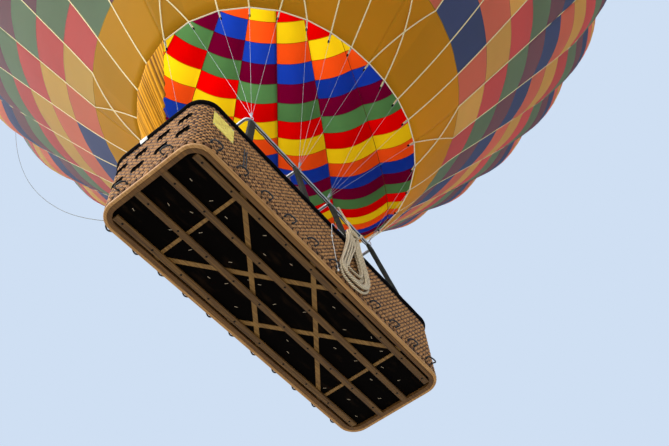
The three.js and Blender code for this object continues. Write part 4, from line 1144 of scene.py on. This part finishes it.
class MouthSettings(bpy.types.PropertyGroup):
    folds: FloatProperty(name="Folds", description="Depth of the scoop's folds", default=0.085, unit="LENGTH")
    wire: FloatProperty(name="Wire", description="Radius of a flying wire", default=0.0027, unit="LENGTH")


class BALLOON_OT_mouth(bpy.types.Operator):
    """Makes the hem, the scoop, the flying wires with their karabiners, and the crown with its valve"""
    bl_idname = "balloon.mouth"
    bl_label = "Mouth and crown"

    def execute(self, context):
        settings = context.scene.balloon_mouth
        drop = Vector((0, 0, 0.014))
        hem = [tape_point(0, i / 4)[0] - drop for i in range(GORES * 4)]
        put("hem", barred, [(hem, True)], 0.02, 0.024, "hem", 0.008, slot="webbing", replaces=["mouth_hem"])
        self.scoop(settings)
        self.wires(settings)
        self.crown()
        return {"FINISHED"}

    def scoop(self, settings):
        """The scoop hangs outside the wires, and its folds run down from the hem and open toward its edge."""
        (first, last), columns, rows = SCOOP_TAPES, SCOOP_COLUMNS, SCOOP_ROWS
        points, faces, fold_shade = [], [], []
        for row in range(rows + 1):
            share = row / rows
            for column in range(columns + 1):
                tape = first + (last - first) * column / columns
                from_end = min(tape - first, last - tape)
                rise = math.sin(min(math.pi / 2, math.radians(SCOOP_TURN) * from_end))
                deep = max(SCOOP_END, SCOOP_DEPTH * rise)
                hem = tape_point(0, tape)[0]
                radius = math.hypot(hem.x, hem.y) + SCOOP_OUT
                down = share * deep
                here = radius - (radius - SCOOP_FOOT_RADIUS) * down / (SCOOP_CLIP - SCOOP_FOOT)
                broad = 0.5 + 0.5 * math.sin(9.1 * tape + 0.7 * math.sin(2.3 * tape))
                fine = 0.5 + 0.5 * math.sin(43 * tape + 2.1 * math.sin(5.3 * tape) + 1.2 * share)
                here += settings.folds * (0.4 * broad + 0.6 * fine) * down ** 0.6 * min(1.0, from_end)
                # Painted shade for the colour: lower where the cloth lies in, in the valleys of the folds.
                fold_shade.append(0.3 * broad + 0.7 * fine)
                turn = tape_angle(tape)
                height = SCOOP_CLIP + SCOOP_TUCK - down * SCOOP_SLACK
                points.append(polar(here, turn, height))
        for row in range(rows):
            for column in range(columns):
                a = row * (columns + 1) + column
                faces.append((a, a + columns + 1, a + columns + 2, a + 1))
        base = mesh_of("scoop_base", points, faces, finish("scoop"))
        note(base, "fold_shade", fold_shade)
        piece = place("scoop_cloth", grown("scoop_cloth", None, {}, base, 0.004), slot="envelope_nylon",
                      replaces=["scoop"])

    def wires(self, settings):
        """Each karabiner on the load frame carries the wires of four tapes, with a swage at either end."""
        rings, tails, toggles = [], [], []
        for number, (x, side, first) in enumerate(SHACKLES):
            start = Vector((x, side * FRAME_HALF_Y, SHACKLE_TOP))
            lines = []
            for tape in range(first, first + 4):
                end = tape_point(0, tape % GORES)[0] - Vector((0, 0, 0.03))
                along = (end - start).normalized()
                far = (end - start).length
                stops = [*WIRE_START, *(far - back for back in WIRE_END)]
                thick = [SWAGE_LOW] * 2 + [settings.wire] * 2 + [SWAGE_HIGH] * 2
                lines.append(([start + along * stop for stop in stops], thick, False))
                hem = tape_point(0, tape % GORES, -0.012)[0]
                tails.append(([hem, hem - along * 0.08, hem - along * 0.17], False))
                toggles.append((hem - along * 0.19, along))
            name = f"flying_wires_{number + 1}"
            put(name, piped, lines, "wire", 6, slot="wire_steel", replaces=[f"wire_fan_{number + 1}"])
            pear = KARABINER + [(-y, z) for y, z in reversed(KARABINER[1:-1])]
            loop = [Vector((x, side * FRAME_HALF_Y + y, FRAME_HEIGHT + z)) for y, z in pear]
            loop = smooth_route([*loop, loop[0]], 40)[:-1]
            rings.append((loop, 0.0065, True))
        put("karabiners", piped, rings, "steel", 8, slot="frame_steel")
        put("toggles", studded, toggles, (0.02, 0.02, 0.034), "black_bolt", slot="wire_steel")
        put("tape_tails", barred, tails, 0.03, 0.005, "webbing", slot="webbing")

    def crown(self):
        """Ring and tapes over the vent hole, its bound edge, and the round valve below them."""
        hole, level, _ = wall_at(WALL_LENGTH)
        straps = []
        for tape in range(GORES):
            turn = tape_angle(tape)
            way = polar(1, turn)
            inner = way * CROWN_RADIUS + Vector((0, 0, level + CROWN_RISE))
            outer = way * (hole + 0.25) + Vector((0, 0, level - 0.002))
            line = []
            for i in range(13):
                sag = Vector((0, 0, 0.03 * math.sin(math.pi * i / 12)))
                line.append(inner.lerp(outer, i / 12) - sag)
            straps.append((line, False))
        mesh = barred("crown_tapes", straps, 0.032, 0.008, "webbing")
        place("crown_tapes", mesh, slot="webbing", replaces=["crown_straps"])
        ring = [polar(CROWN_RADIUS, a, level + CROWN_RISE) for a in np.linspace(0, 2 * math.pi, 48, False)]
        put("crown_ring", piped, [(ring, CROWN_TUBE, True)], "steel", 12, slot="frame_steel")
        edge = [tape_point(WALL_LENGTH, i / 8, 0.006)[0] for i in range(GORES * 8)]
        put("vent_edge", barred, [(edge, True)], 0.09, 0.006, "webbing", slot="webbing")
        below, low, _ = wall_at(WALL_LENGTH - WALL_STRETCHES[-1][0] / 3)
        slope = (level - low) / (hole - below)
        sides, points, faces = VALVE_SIDES, [Vector((0, 0, level + 0.05))], []
        radii = [0.3, 0.8, 1.4, 2.0, 2.6, 3.1, VALVE_FLAT, hole, VALVE_RADIUS]
        for ring, radius in enumerate(radii):
            height = level - 0.0103
            if radius < hole:
                height += 0.06 - 0.075 * (radius / VALVE_FLAT) ** 2
            height += slope * max(0.0, radius - hole)
            for k in range(sides):
                a = tape_angle(k / 3)
                ripple = 0.008 * math.sin(a * 16) * (radius / VALVE_RADIUS) ** 2 if radius < hole else 0.0
                points.append(polar(radius, a, height + ripple))
                after = (k + 1) % sides
                if ring:
                    low_ring, high_ring = 1 + (ring - 1) * sides, 1 + ring * sides
                    faces.append((low_ring + k, high_ring + k, high_ring + after, low_ring + after))
                else:
                    faces.append((0, 1 + k, 1 + after))
        base = mesh_of("valve_base", points, faces, finish("nylon"))
        for name, value in (("panel", 6.0), ("lot", 0.5), ("seam", 0.0)):
            note(base, name, [value] * len(faces), domain="FACE")
        valve = place("valve_cloth", grown("valve_cloth", None, {}, base, 0.004), "vent_valve",
                      "envelope_nylon", ["vent_valve"])


# Load frame and burner


class FrameSettings(bpy.types.PropertyGroup):
    sleeve: FloatProperty(name="Sleeve", description="Width of a padded sleeve", default=0.13, unit="LENGTH")
    puff: FloatProperty(
        name="Puff", description="Share by which a sleeve swells between its ties", default=0.06)


# Sleeves: kind, place of foot and top along the frame, and side
UPRIGHTS = [(kind, end * foot, end * top, side)
            for kind, foot, top in (("corner", 1.72, 1.46), ("middle", 0.48, 0.44))
            for side in (-1, 1) for end in (-1, 1)]
SLEEVE_FOOT, SLEEVE_TOP, SLEEVE_OUT, SLEEVE_HALF_Y, SLEEVE_SQUARE = 1.2503, 2.4747, 0.83, 0.035, 0.55
SLEEVE_RINGS, SLEEVE_SIDES, CLASP_PLACE = 40, 24, 0.93
HOSE_HALF, HOSE_STEPS, HOSE_DROP = 1.42, 96, 0.036
GIMBAL_HALF, GIMBAL_TUBE, GIMBAL_PIN = 0.31, 0.015, 0.012
CAN_PLACE, CAN_BASE, JET_RING, JET_HEIGHT, JETS = 0.14, 2.5303, 0.05, 0.045, 8
COIL_RADIUS, COIL_TUBE, COIL_TURNS, COIL_STEPS, COIL_FOOT, COIL_HEIGHT = 0.1, 0.0075, 9, 20, 0.06, 0.42
# Outlines turned about an upright axis, as radius and height
CAN_OUTLINE = [(0.001, 0.0), (0.126, 0.0), (0.13, 0.006), (0.13, 0.514), (0.127, 0.52), (0.121, 0.52),
               (0.118, 0.515), (0.118, 0.03), (0.03, 0.025), (0.001, 0.025)]
CYLINDER_OUTLINE = [(0.001, 0.03), (0.09, 0.022), (0.12, 0.0), (0.14, 0.0), (0.145, 0.03), (0.168, 0.06),
                    (0.175, 0.1), (0.175, 0.80), (0.168, 0.85), (0.14, 0.895), (0.115, 0.91),
                    (0.112, 0.98), (0.104, 0.98), (0.1, 0.915), (0.05, 0.925), (0.001, 0.928)]
CYLINDER_STRAPS, STRAP_RADIUS = (0.27, 0.66), 0.177


class BALLOON_OT_frame(bpy.types.Operator):
    """Makes the load frame, its padded sleeves and hoses, the gimbal, the burner and the cylinders"""
    bl_idname = "balloon.frame"
    bl_label = "Load frame and burner"

    def execute(self, context):
        settings = context.scene.balloon_frame
        loop = rounded_path(FRAME_HALF_X, FRAME_HALF_Y, 0.08, FRAME_HEIGHT, 6, 0.2)
        tubes = [(loop, FRAME_TUBE, True)]
        for x in (-CROSS_TUBE, CROSS_TUBE):
            tubes.append(([Vector((x, y, FRAME_HEIGHT)) for y in (-FRAME_HALF_Y, 0, FRAME_HALF_Y)],
                          FRAME_TUBE, False))
        put("frame_tubes", piped, tubes, "steel", 16, slot="frame_steel", replaces=["load_frame"])
        self.sleeves(settings)
        self.hoses()
        self.burner()
        self.cylinders()
        return {"FINISHED"}

    def sleeves(self, settings):
        counts = {"corner": 0, "middle": 0}
        clasps = []
        for kind, foot_x, top_x, side in UPRIGHTS:
            counts[kind] += 1
            foot = Vector((foot_x, side * SLEEVE_OUT, SLEEVE_FOOT))
            top = Vector((top_x, side * FRAME_HALF_Y, SLEEVE_TOP))
            rings = []
            for i in range(SLEEVE_RINGS + 1):
                part = i / SLEEVE_RINGS
                size = 1 - settings.puff * (1 - abs(math.sin(math.pi * 3 * part)) ** 0.6)
                size *= min(1.0, 0.72 + 12 * min(part, 1 - part))
                ring = []
                for k in range(SLEEVE_SIDES):
                    a = 2 * math.pi * k / SLEEVE_SIDES
                    x = math.copysign(abs(math.cos(a)) ** SLEEVE_SQUARE, math.cos(a)) * settings.sleeve / 2
                    y = math.copysign(abs(math.sin(a)) ** SLEEVE_SQUARE, math.sin(a)) * SLEEVE_HALF_Y
                    ring.append(foot.lerp(top, part) + Vector((x, y, 0)) * size)
                rings.append(ring)
            name = f"sleeve_{kind}_{counts[kind]}"
            sleeve = put(name, lofted, rings, "sleeve", slot="suede",
                         replaces=[f"upright_{kind}_{counts[kind]}"])
            clasps.append(foot.lerp(top, CLASP_PLACE))
        # A clasp closes each sleeve below the load frame.
        ring = rounded_path(0.058, 0.032, 0.02, 0.0, 3, 0.1)
        lines = [([p + spot for p in ring], 0.005, True) for spot in clasps]
        put("sleeve_clasps", piped, lines, "steel", 6, slot="frame_steel")

    def hoses(self):
        """Two black fuel hoses and a thin line looped along the underside of the near and far tubes."""
        lines = []
        for side in (-1, 1):
            for offset, sag, thick in ((0.012, 0.018, 0.011), (-0.018, 0.028, 0.008)):
                line = []
                for i in range(HOSE_STEPS + 1):
                    x = -HOSE_HALF + 2 * HOSE_HALF * i / HOSE_STEPS
                    drop = HOSE_DROP + sag * abs(math.sin(math.pi * i / 8))
                    line.append(Vector((x, side * (FRAME_HALF_Y + offset), FRAME_HEIGHT - drop)))
                lines.append((line, thick, False))
        put("fuel_hoses", piped, lines, "rubber", 8, slot="rope")

    def burner(self):
        """Gimbal ring with its pins, four cans with coils inside, their jets, and levers on the block."""
        ring = [(rounded_path(GIMBAL_HALF, GIMBAL_HALF, 0.06, FRAME_HEIGHT, 6, 0.1), GIMBAL_TUBE, True)]
        for end in (-1, 1):
            pin = [Vector((end * x, 0, FRAME_HEIGHT)) for x in (0.312, CROSS_TUBE - FRAME_TUBE - 0.0005)]
            ring.append((pin, GIMBAL_PIN, False))
        put("gimbal_tubes", piped, ring, "steel", 12, body="gimbal", slot="frame_steel",
            replaces=["gimbal_ring"])
        coils, jets = [], []
        for number, (x, y) in enumerate(((-1, -1), (1, -1), (-1, 1), (1, 1))):
            centre = Vector((CAN_PLACE * x, CAN_PLACE * y, CAN_BASE))
            name = f"can_{number + 1}"
            put(name, turned, CAN_OUTLINE, centre, "steel", body="burner", slot="burner_steel",
                replaces=[f"burner_can_{number + 1}"])
            coil = []
            steps = COIL_TURNS * COIL_STEPS
            for i in range(steps + 1):
                a = 2 * math.pi * i / COIL_STEPS
                up = COIL_FOOT + COIL_HEIGHT * i / steps
                coil.append(centre + polar(COIL_RADIUS, a, up))
            coils.append((coil, COIL_TUBE, False))
            for k in range(JETS):
                a = 2 * math.pi * k / JETS
                jets.append((centre + polar(JET_RING, a, JET_HEIGHT), (0, 0, 1)))
        put("burner_coils", piped, coils, "steel", 8, body="burner", slot="burner_steel")
        put("burner_jets", studded, jets, (0.012, 0.012, 0.022), "brass", body="burner", slot="burner_steel")
        levers = []
        for x in (-1, 1):
            for y in (-0.19, -0.09, 0.09, 0.19):
                lever = [Vector((x * out, y, z)) for out, z in ((0.2, 2.47), (0.2, 2.44), (0.27, 2.43))]
                levers.append((lever, 0.007, False))
        put("burner_levers", piped, levers, "brass", 8, body="burner", slot="burner_steel")
        dress("dark_metal", "burner_block")

    def cylinders(self):
        """Fuel cylinders with a foot ring, domed ends, a guard round the valve, and two straps each."""
        straps, valves = [], []
        for number in range(4):
            box, middle = node_box(f"fuel_cylinder_{number + 1}")
            centre = Vector((middle.x, middle.y, min(p.z for p in box)))
            name = f"cylinder_{number + 1}"
            put(name, turned, CYLINDER_OUTLINE, centre, "cylinder", slot="cylinder_steel",
                replaces=[f"fuel_cylinder_{number + 1}"])
            for height in CYLINDER_STRAPS:
                turns = np.linspace(0, 2 * math.pi, 40, False)
                ring = [centre + polar(STRAP_RADIUS, a, height) for a in turns]
                straps.append((ring, True))
            stem = [centre + Vector((0, 0, 0.92)), centre + Vector((0, 0, 0.965))]
            grip = [centre + Vector((-0.05, 0, 0.955)), centre + Vector((0.05, 0, 0.955))]
            valves += [(stem, 0.02, False), (grip, 0.012, False)]
        put("cylinder_straps", barred, straps, 0.004, 0.045, "suede", slot="suede")
        put("cylinder_valves", piped, valves, "brass", 12, slot="cylinder_steel")


# Basket


# Half sizes of a cane: length as a share of the stakes' distance, depth, and height as a share of a row
CANE_LENGTH, CANE_DEPTH, CANE_HEIGHT = 0.77, 0.0115, 0.44
# Weaves of the walls: name, how far inside the wall's face, and fineness
WEAVES = [("weave_outside", 0.006, 0.84), ("weave_inside", 0.034, 1.0)]
WEAVE_FOOT, WEAVE_HEIGHT = 0.115, 1.03
# Border on the base frame: inset, foot, distances of its stakes and rows, and the half sizes of its canes
BORDER_INSET, BORDER_FOOT, BORDER_STAKE, BORDER_ROW = 0.004, 0.068, 0.05, 0.032
BORDER_CANE = (0.046, 0.012, 0.0165)
PARTITION_LOW, PARTITION_HIGH, PARTITION_HALF, PARTITION_TUBE = 0.0709, 1.1, 0.0075, 0.032
RUNNERS, BOLTS_A_RUNNER, BOLT_REACH = 4, 10, 2.3
RUNNER_WIDTH, RUNNER_HEIGHT = 0.09, 0.04
# Distance of the rim's lacings, and how far each draws it in
LACING, PINCH = 0.36, 0.003
SCAR = 0.045
PLACARD, RIVETS = (-2.2, -0.8534, 0.86), (0.165, 0.16)
TAG_PLACE, TAG_RADIUS, TAG_ANGLES = (-2.58, 0.19), 0.0535, (-1.0, -0.7, -0.4, -0.1, 0.2)


class BasketSettings(bpy.types.PropertyGroup):
    stake: FloatProperty(
        name="Stakes", description="Distance between the stakes of the weave", default=0.043, unit="LENGTH")
    row: FloatProperty(name="Rows", description="Height of a row of cane", default=0.0245, unit="LENGTH")
    seed: IntProperty(name="Seed", description="Seed of the cane's sizes and shades", default=3)


def wall_core():
    """The walls' middle layer, round the basket's corners, with the step holes left open in both ends."""
    half_x, half_y, radius = HALF_LENGTH - WALL / 2, HALF_WIDTH - WALL / 2, CORNER - WALL / 2
    quarter = [(half_x, y) for y in (0.0, 0.105, 0.295, 0.465)]
    for angle in (0, 9, 17.67, 27, 38, 50, 63, 76, 90):
        a = math.radians(angle)
        quarter.append((half_x - radius + radius * math.cos(a), half_y - radius + radius * math.sin(a)))
    quarter += [(x, half_y) for x in (1.5, 0.75)]
    line = []
    for sign_x, sign_y in ((1, 1), (-1, 1), (-1, -1), (1, -1)):
        part = [(sign_x * x, sign_y * y) for x, y in quarter]
        # Quarters meet in the middle of a side, each with one of its two end points.
        if sign_x * sign_y > 0:
            line += part + [(0.0, sign_y * half_y)]
        else:
            line += list(reversed(part))[:-1] + [part[0]]
    unique = [p for i, p in enumerate(line) if p != line[i - 1]]
    levels = [WALL_FOOT, 0.45, 0.55, 0.81, 0.91, WALL_TOP]
    points = [Vector((x, y, z)) for z in levels for x, y in unique]
    count, faces = len(unique), []
    for level in range(len(levels) - 1):
        height = (levels[level] + levels[level + 1]) / 2
        for i in range(count):
            after = (i + 1) % count
            x, y = (unique[i][0] + unique[after][0]) / 2, (unique[i][1] + unique[after][1]) / 2
            if abs(x) > 2.5 and any(abs(y - hole) < 0.095 and abs(height - up) < 0.05
                                    for hole, up in STEP_HOLES):
                continue
            a, b = level * count + i, level * count + after
            faces.append((a, b, b + count, a + count))
    # The core is drawn near black: painted shade for the gaps between the canes, over the stakes' own brown.
    return mesh_of("wall_core", points, faces, finish("stakes"))


class BALLOON_OT_basket(bpy.types.Operator):
    """Makes the woven walls and partitions, the padded rim, and the woodwork under the floor"""
    bl_idname = "balloon.basket"
    bl_label = "Basket"

    def execute(self, context):
        settings = context.scene.balloon_basket
        self.walls(settings)
        self.partitions(settings)
        self.rim()
        self.woodwork()
        self.details()
        return {"FINISHED"}

    def weave(self, name, lines, height, fineness, settings, holes):
        """Weave up to a height, with stakes and rows closer together by the fineness."""
        stake, row = settings.stake * fineness, settings.row * fineness
        values = {
            "Stake pitch": stake, "Row pitch": row, "Rows": round(height / row),
            "Cane": (stake * CANE_LENGTH, CANE_DEPTH, row * CANE_HEIGHT), "Step holes": float(holes),
            "Seed": settings.seed, "Material": finish("wicker"),
        }
        base = line_mesh(name, [(line, 0.01, closed) for line, closed in lines])
        place(name, grown(name, once(woven_tree), values, base), slot="wicker")

    def walls(self, settings):
        names = [f"wicker_wall_{side}" for side in ("front", "back", "left", "right")]
        place("wall_stakes", grown("wall_stakes", None, {}, wall_core(), 0.028, 0.0), slot="wicker",
              replaces=names)
        for name, inset, fineness in WEAVES:
            path = round_basket(inset, WEAVE_FOOT)
            self.weave(name, [(path, True)], WEAVE_HEIGHT, fineness, settings, True)
        # A thicker border of cane pairs stands on the base frame.
        line = round_basket(BORDER_INSET, BORDER_FOOT)
        values = {"Stake pitch": BORDER_STAKE, "Row pitch": BORDER_ROW, "Rows": 2, "Cane": BORDER_CANE,
                  "Seed": settings.seed, "Material": finish("wicker")}
        base = line_mesh("weave_border", [(line, 0.01, True)])
        place("weave_border", grown("weave_border", once(woven_tree), values, base), slot="wicker")
        binding = []
        for end in (-1, 1):
            for y, z in STEP_HOLES:
                for out in (0.004, 0.036):
                    ring = rounded_path(0.1, 0.052, 0.02, 0.0, 3, 0.2)
                    line = []
                    for p in ring:
                        across = y + p.x
                        bend = max(0.0, abs(across) - (HALF_WIDTH - CORNER))
                        depth = CORNER - math.sqrt(CORNER ** 2 - bend ** 2)
                        line.append(Vector((end * (HALF_LENGTH - out - depth), across, z + p.y)))
                    binding.append((line, 0.011, True))
        put("step_bindings", piped, binding, "suede", 8, slot="suede")
        dashes = []
        band = rounded_path(HALF_LENGTH + 0.001, HALF_WIDTH + 0.001, CORNER, 0.108, 8, 0.14)
        for spot, after in zip(band, band[1:] + band[:1]):
            along = after - spot
            if along.length > 0.1:
                dashes.append(([spot + along * 0.2, spot + along * 0.55], 0.006, False))
        put("base_lashing", piped, dashes, "black_rope", 6, slot="suede")

    def partitions(self, settings):
        """Woven inner walls, with a padded tube along the top of each."""
        low, high, half = PARTITION_LOW, PARTITION_HIGH, PARTITION_HALF
        spans = [((x, -0.808), (x, 0.808)) for x in (-0.55, 0.55)]
        spans += [((-2.558, 0.0), (-0.57, 0.0)), ((0.57, 0.0), (2.558, 0.0))]
        names = ["partition_across_1", "partition_across_2", "partition_along_1", "partition_along_2"]
        lines, tops = [], []
        for name, (start, end) in zip(names, spans):
            a, b = Vector((*start, 0)), Vector((*end, 0))
            way = (b - a).normalized()
            aside = Vector((-way.y, way.x, 0))
            rings = []
            for z in (low, high):
                up = Vector((0, 0, z))
                rings.append([a - aside * half + up, b - aside * half + up, b + aside * half + up,
                              a + aside * half + up])
            core = name + "_stakes"
            # The partitions' cores take the same near-black finish, painted shade for the gaps between the
            # canes.
            put(core, lofted, rings, "stakes", False, slot="wicker", replaces=[name])
            for side in (-1, 1):
                lift = Vector((0, 0, 0.09))
                lines.append(([a + aside * 0.009 * side + lift, b + aside * 0.009 * side + lift], False))
            tops.append(([a + (b - a) * i / 12 + Vector((0, 0, high - 0.012)) for i in range(13)],
                         PARTITION_TUBE, False))
        self.weave("weave_partitions", lines, 1.0, 1.0, settings, False)
        mesh = piped("partition_tops", tops, "suede", 12)
        place("partition_tops", mesh, slot="suede")

    def rim(self):
        """Padded rim: foam round the top tube, drawn in a little at each lacing."""
        line = round_basket(WALL / 2, RIM_HEIGHT, 12, 0.035)
        thick, travel = [], 0.0
        for i, spot in enumerate(line):
            pinch = abs(math.sin(math.pi * travel / LACING))
            thick.append(RIM_RADIUS - PINCH * (1 - pinch) ** 2)
            travel += (line[(i + 1) % len(line)] - spot).length
        mesh = piped("rim_pad", [(line, thick, True)], "suede", 16)
        place("rim_pad", mesh, slot="suede", replaces=["padded_rim"])

    def woodwork(self):
        band = rounded_path(2.576, 0.826, 0.256, 0.028, 8, 0.5)
        put("base_band", barred, [(band, True)], 0.048, 0.056, "ash", 0.016, slot="base_wood",
            replaces=["base_frame"])
        board = rounded_path(2.521, 0.771, 0.2, 0.049, 8, 0.5)
        # The board under the base takes the darker ash: a painted shade.
        put("base_board", barred, [(board, True)], 0.062, 0.094, "underside", 0.004, slot="base_wood")
        bolts = []
        for number in range(RUNNERS):
            box, middle = node_box(f"runner_{number + 1}")
            size = max(p.x for p in box) - min(p.x for p in box)
            line = [middle + Vector((size * (i / 8 - 0.5), 0, 0)) for i in range(9)]
            name = f"oak_runner_{number + 1}"
            mesh = barred(name, [(line, False)], RUNNER_WIDTH, RUNNER_HEIGHT, "oak", 0.008)
            place(name, mesh, slot="runner_wood", replaces=[f"runner_{number + 1}"])
            low = min(p.z for p in box)
            bolts += [(Vector((x, middle.y, low)), (0, 0, -1))
                      for x in np.linspace(-BOLT_REACH, BOLT_REACH, BOLTS_A_RUNNER)]
        put("runner_bolts", studded, bolts, (0.016, 0.016, 0.006), "black_bolt", slot="runner_wood")
        dress("ash_strap", "underfloor_straps")
        dress("floor", "floor_board")
        draw = random.Random(5)
        scars = []
        for x in np.linspace(-2.25, 2.25, 13):
            for y in (-0.44, 0.0, 0.44):
                start = Vector((x + draw.uniform(-0.12, 0.12), y + draw.uniform(-0.12, 0.12), 0.0518))
                turn = draw.uniform(-1.2, 0.4)
                scars.append(([start, start + polar(SCAR, turn)], False))
        put("floor_scars", barred, scars, 0.008, 0.001, "scar", slot="floor_ply")

    def details(self):
        """Plate with its rivets, and a white cloth tag on the rim."""
        dress("placard", "placard")
        x, y, z = PLACARD
        across, up = RIVETS
        corners = [(Vector((x + across * a, y, z + up * b)), (0, -1, 0)) for a in (-1, 1) for b in (-1, 1)]
        put("placard_rivets", studded, corners, (0.009, 0.009, 0.005), "steel", slot="placard_plate")
        x, y = TAG_PLACE
        arc = [Vector((x - TAG_RADIUS * math.cos(a), y,
                       RIM_HEIGHT + TAG_RADIUS * math.sin(a))) for a in TAG_ANGLES]
        tag = put("cloth_tag", barred, [(arc, False)], 0.13, 0.002, "tag", slot="suede")


SETTINGS = {
    "balloon_stage": StageSettings, "balloon_ropes": RopeSettings, "balloon_envelope": EnvelopeSettings,
    "balloon_mouth": MouthSettings, "balloon_frame": FrameSettings, "balloon_basket": BasketSettings,
}
OPERATORS = [BALLOON_OT_stage, BALLOON_OT_ropes, BALLOON_OT_envelope, BALLOON_OT_mouth, BALLOON_OT_frame,
             BALLOON_OT_basket]


class BALLOON_PT_panel(bpy.types.Panel):
    """Lists the balloon's pieces"""
    bl_idname = "BALLOON_PT_panel"
    bl_label = "Ride balloon"
    bl_space_type = "VIEW_3D"
    bl_region_type = "UI"
    bl_category = "Balloon"

    def draw(self, context):
        for operator in OPERATORS:
            self.layout.operator(operator.bl_idname)
        for name, group in SETTINGS.items():
            box = self.layout.box()
            for key in group.__annotations__:
                box.prop(getattr(context.scene, name), key)


def register():
    for kind in [*SETTINGS.values(), *OPERATORS, BALLOON_PT_panel]:
        bpy.utils.register_class(kind)
    for name, group in SETTINGS.items():
        setattr(bpy.types.Scene, name, PointerProperty(type=group))


def unregister():
    for name in SETTINGS:
        delattr(bpy.types.Scene, name)
    for kind in reversed([*SETTINGS.values(), *OPERATORS, BALLOON_PT_panel]):
        bpy.utils.unregister_class(kind)


def main():
    register()
    for operator in OPERATORS:
        family, name = operator.bl_idname.split(".")
        getattr(getattr(bpy.ops, family), name)()


if __name__ == "__main__":
    main()
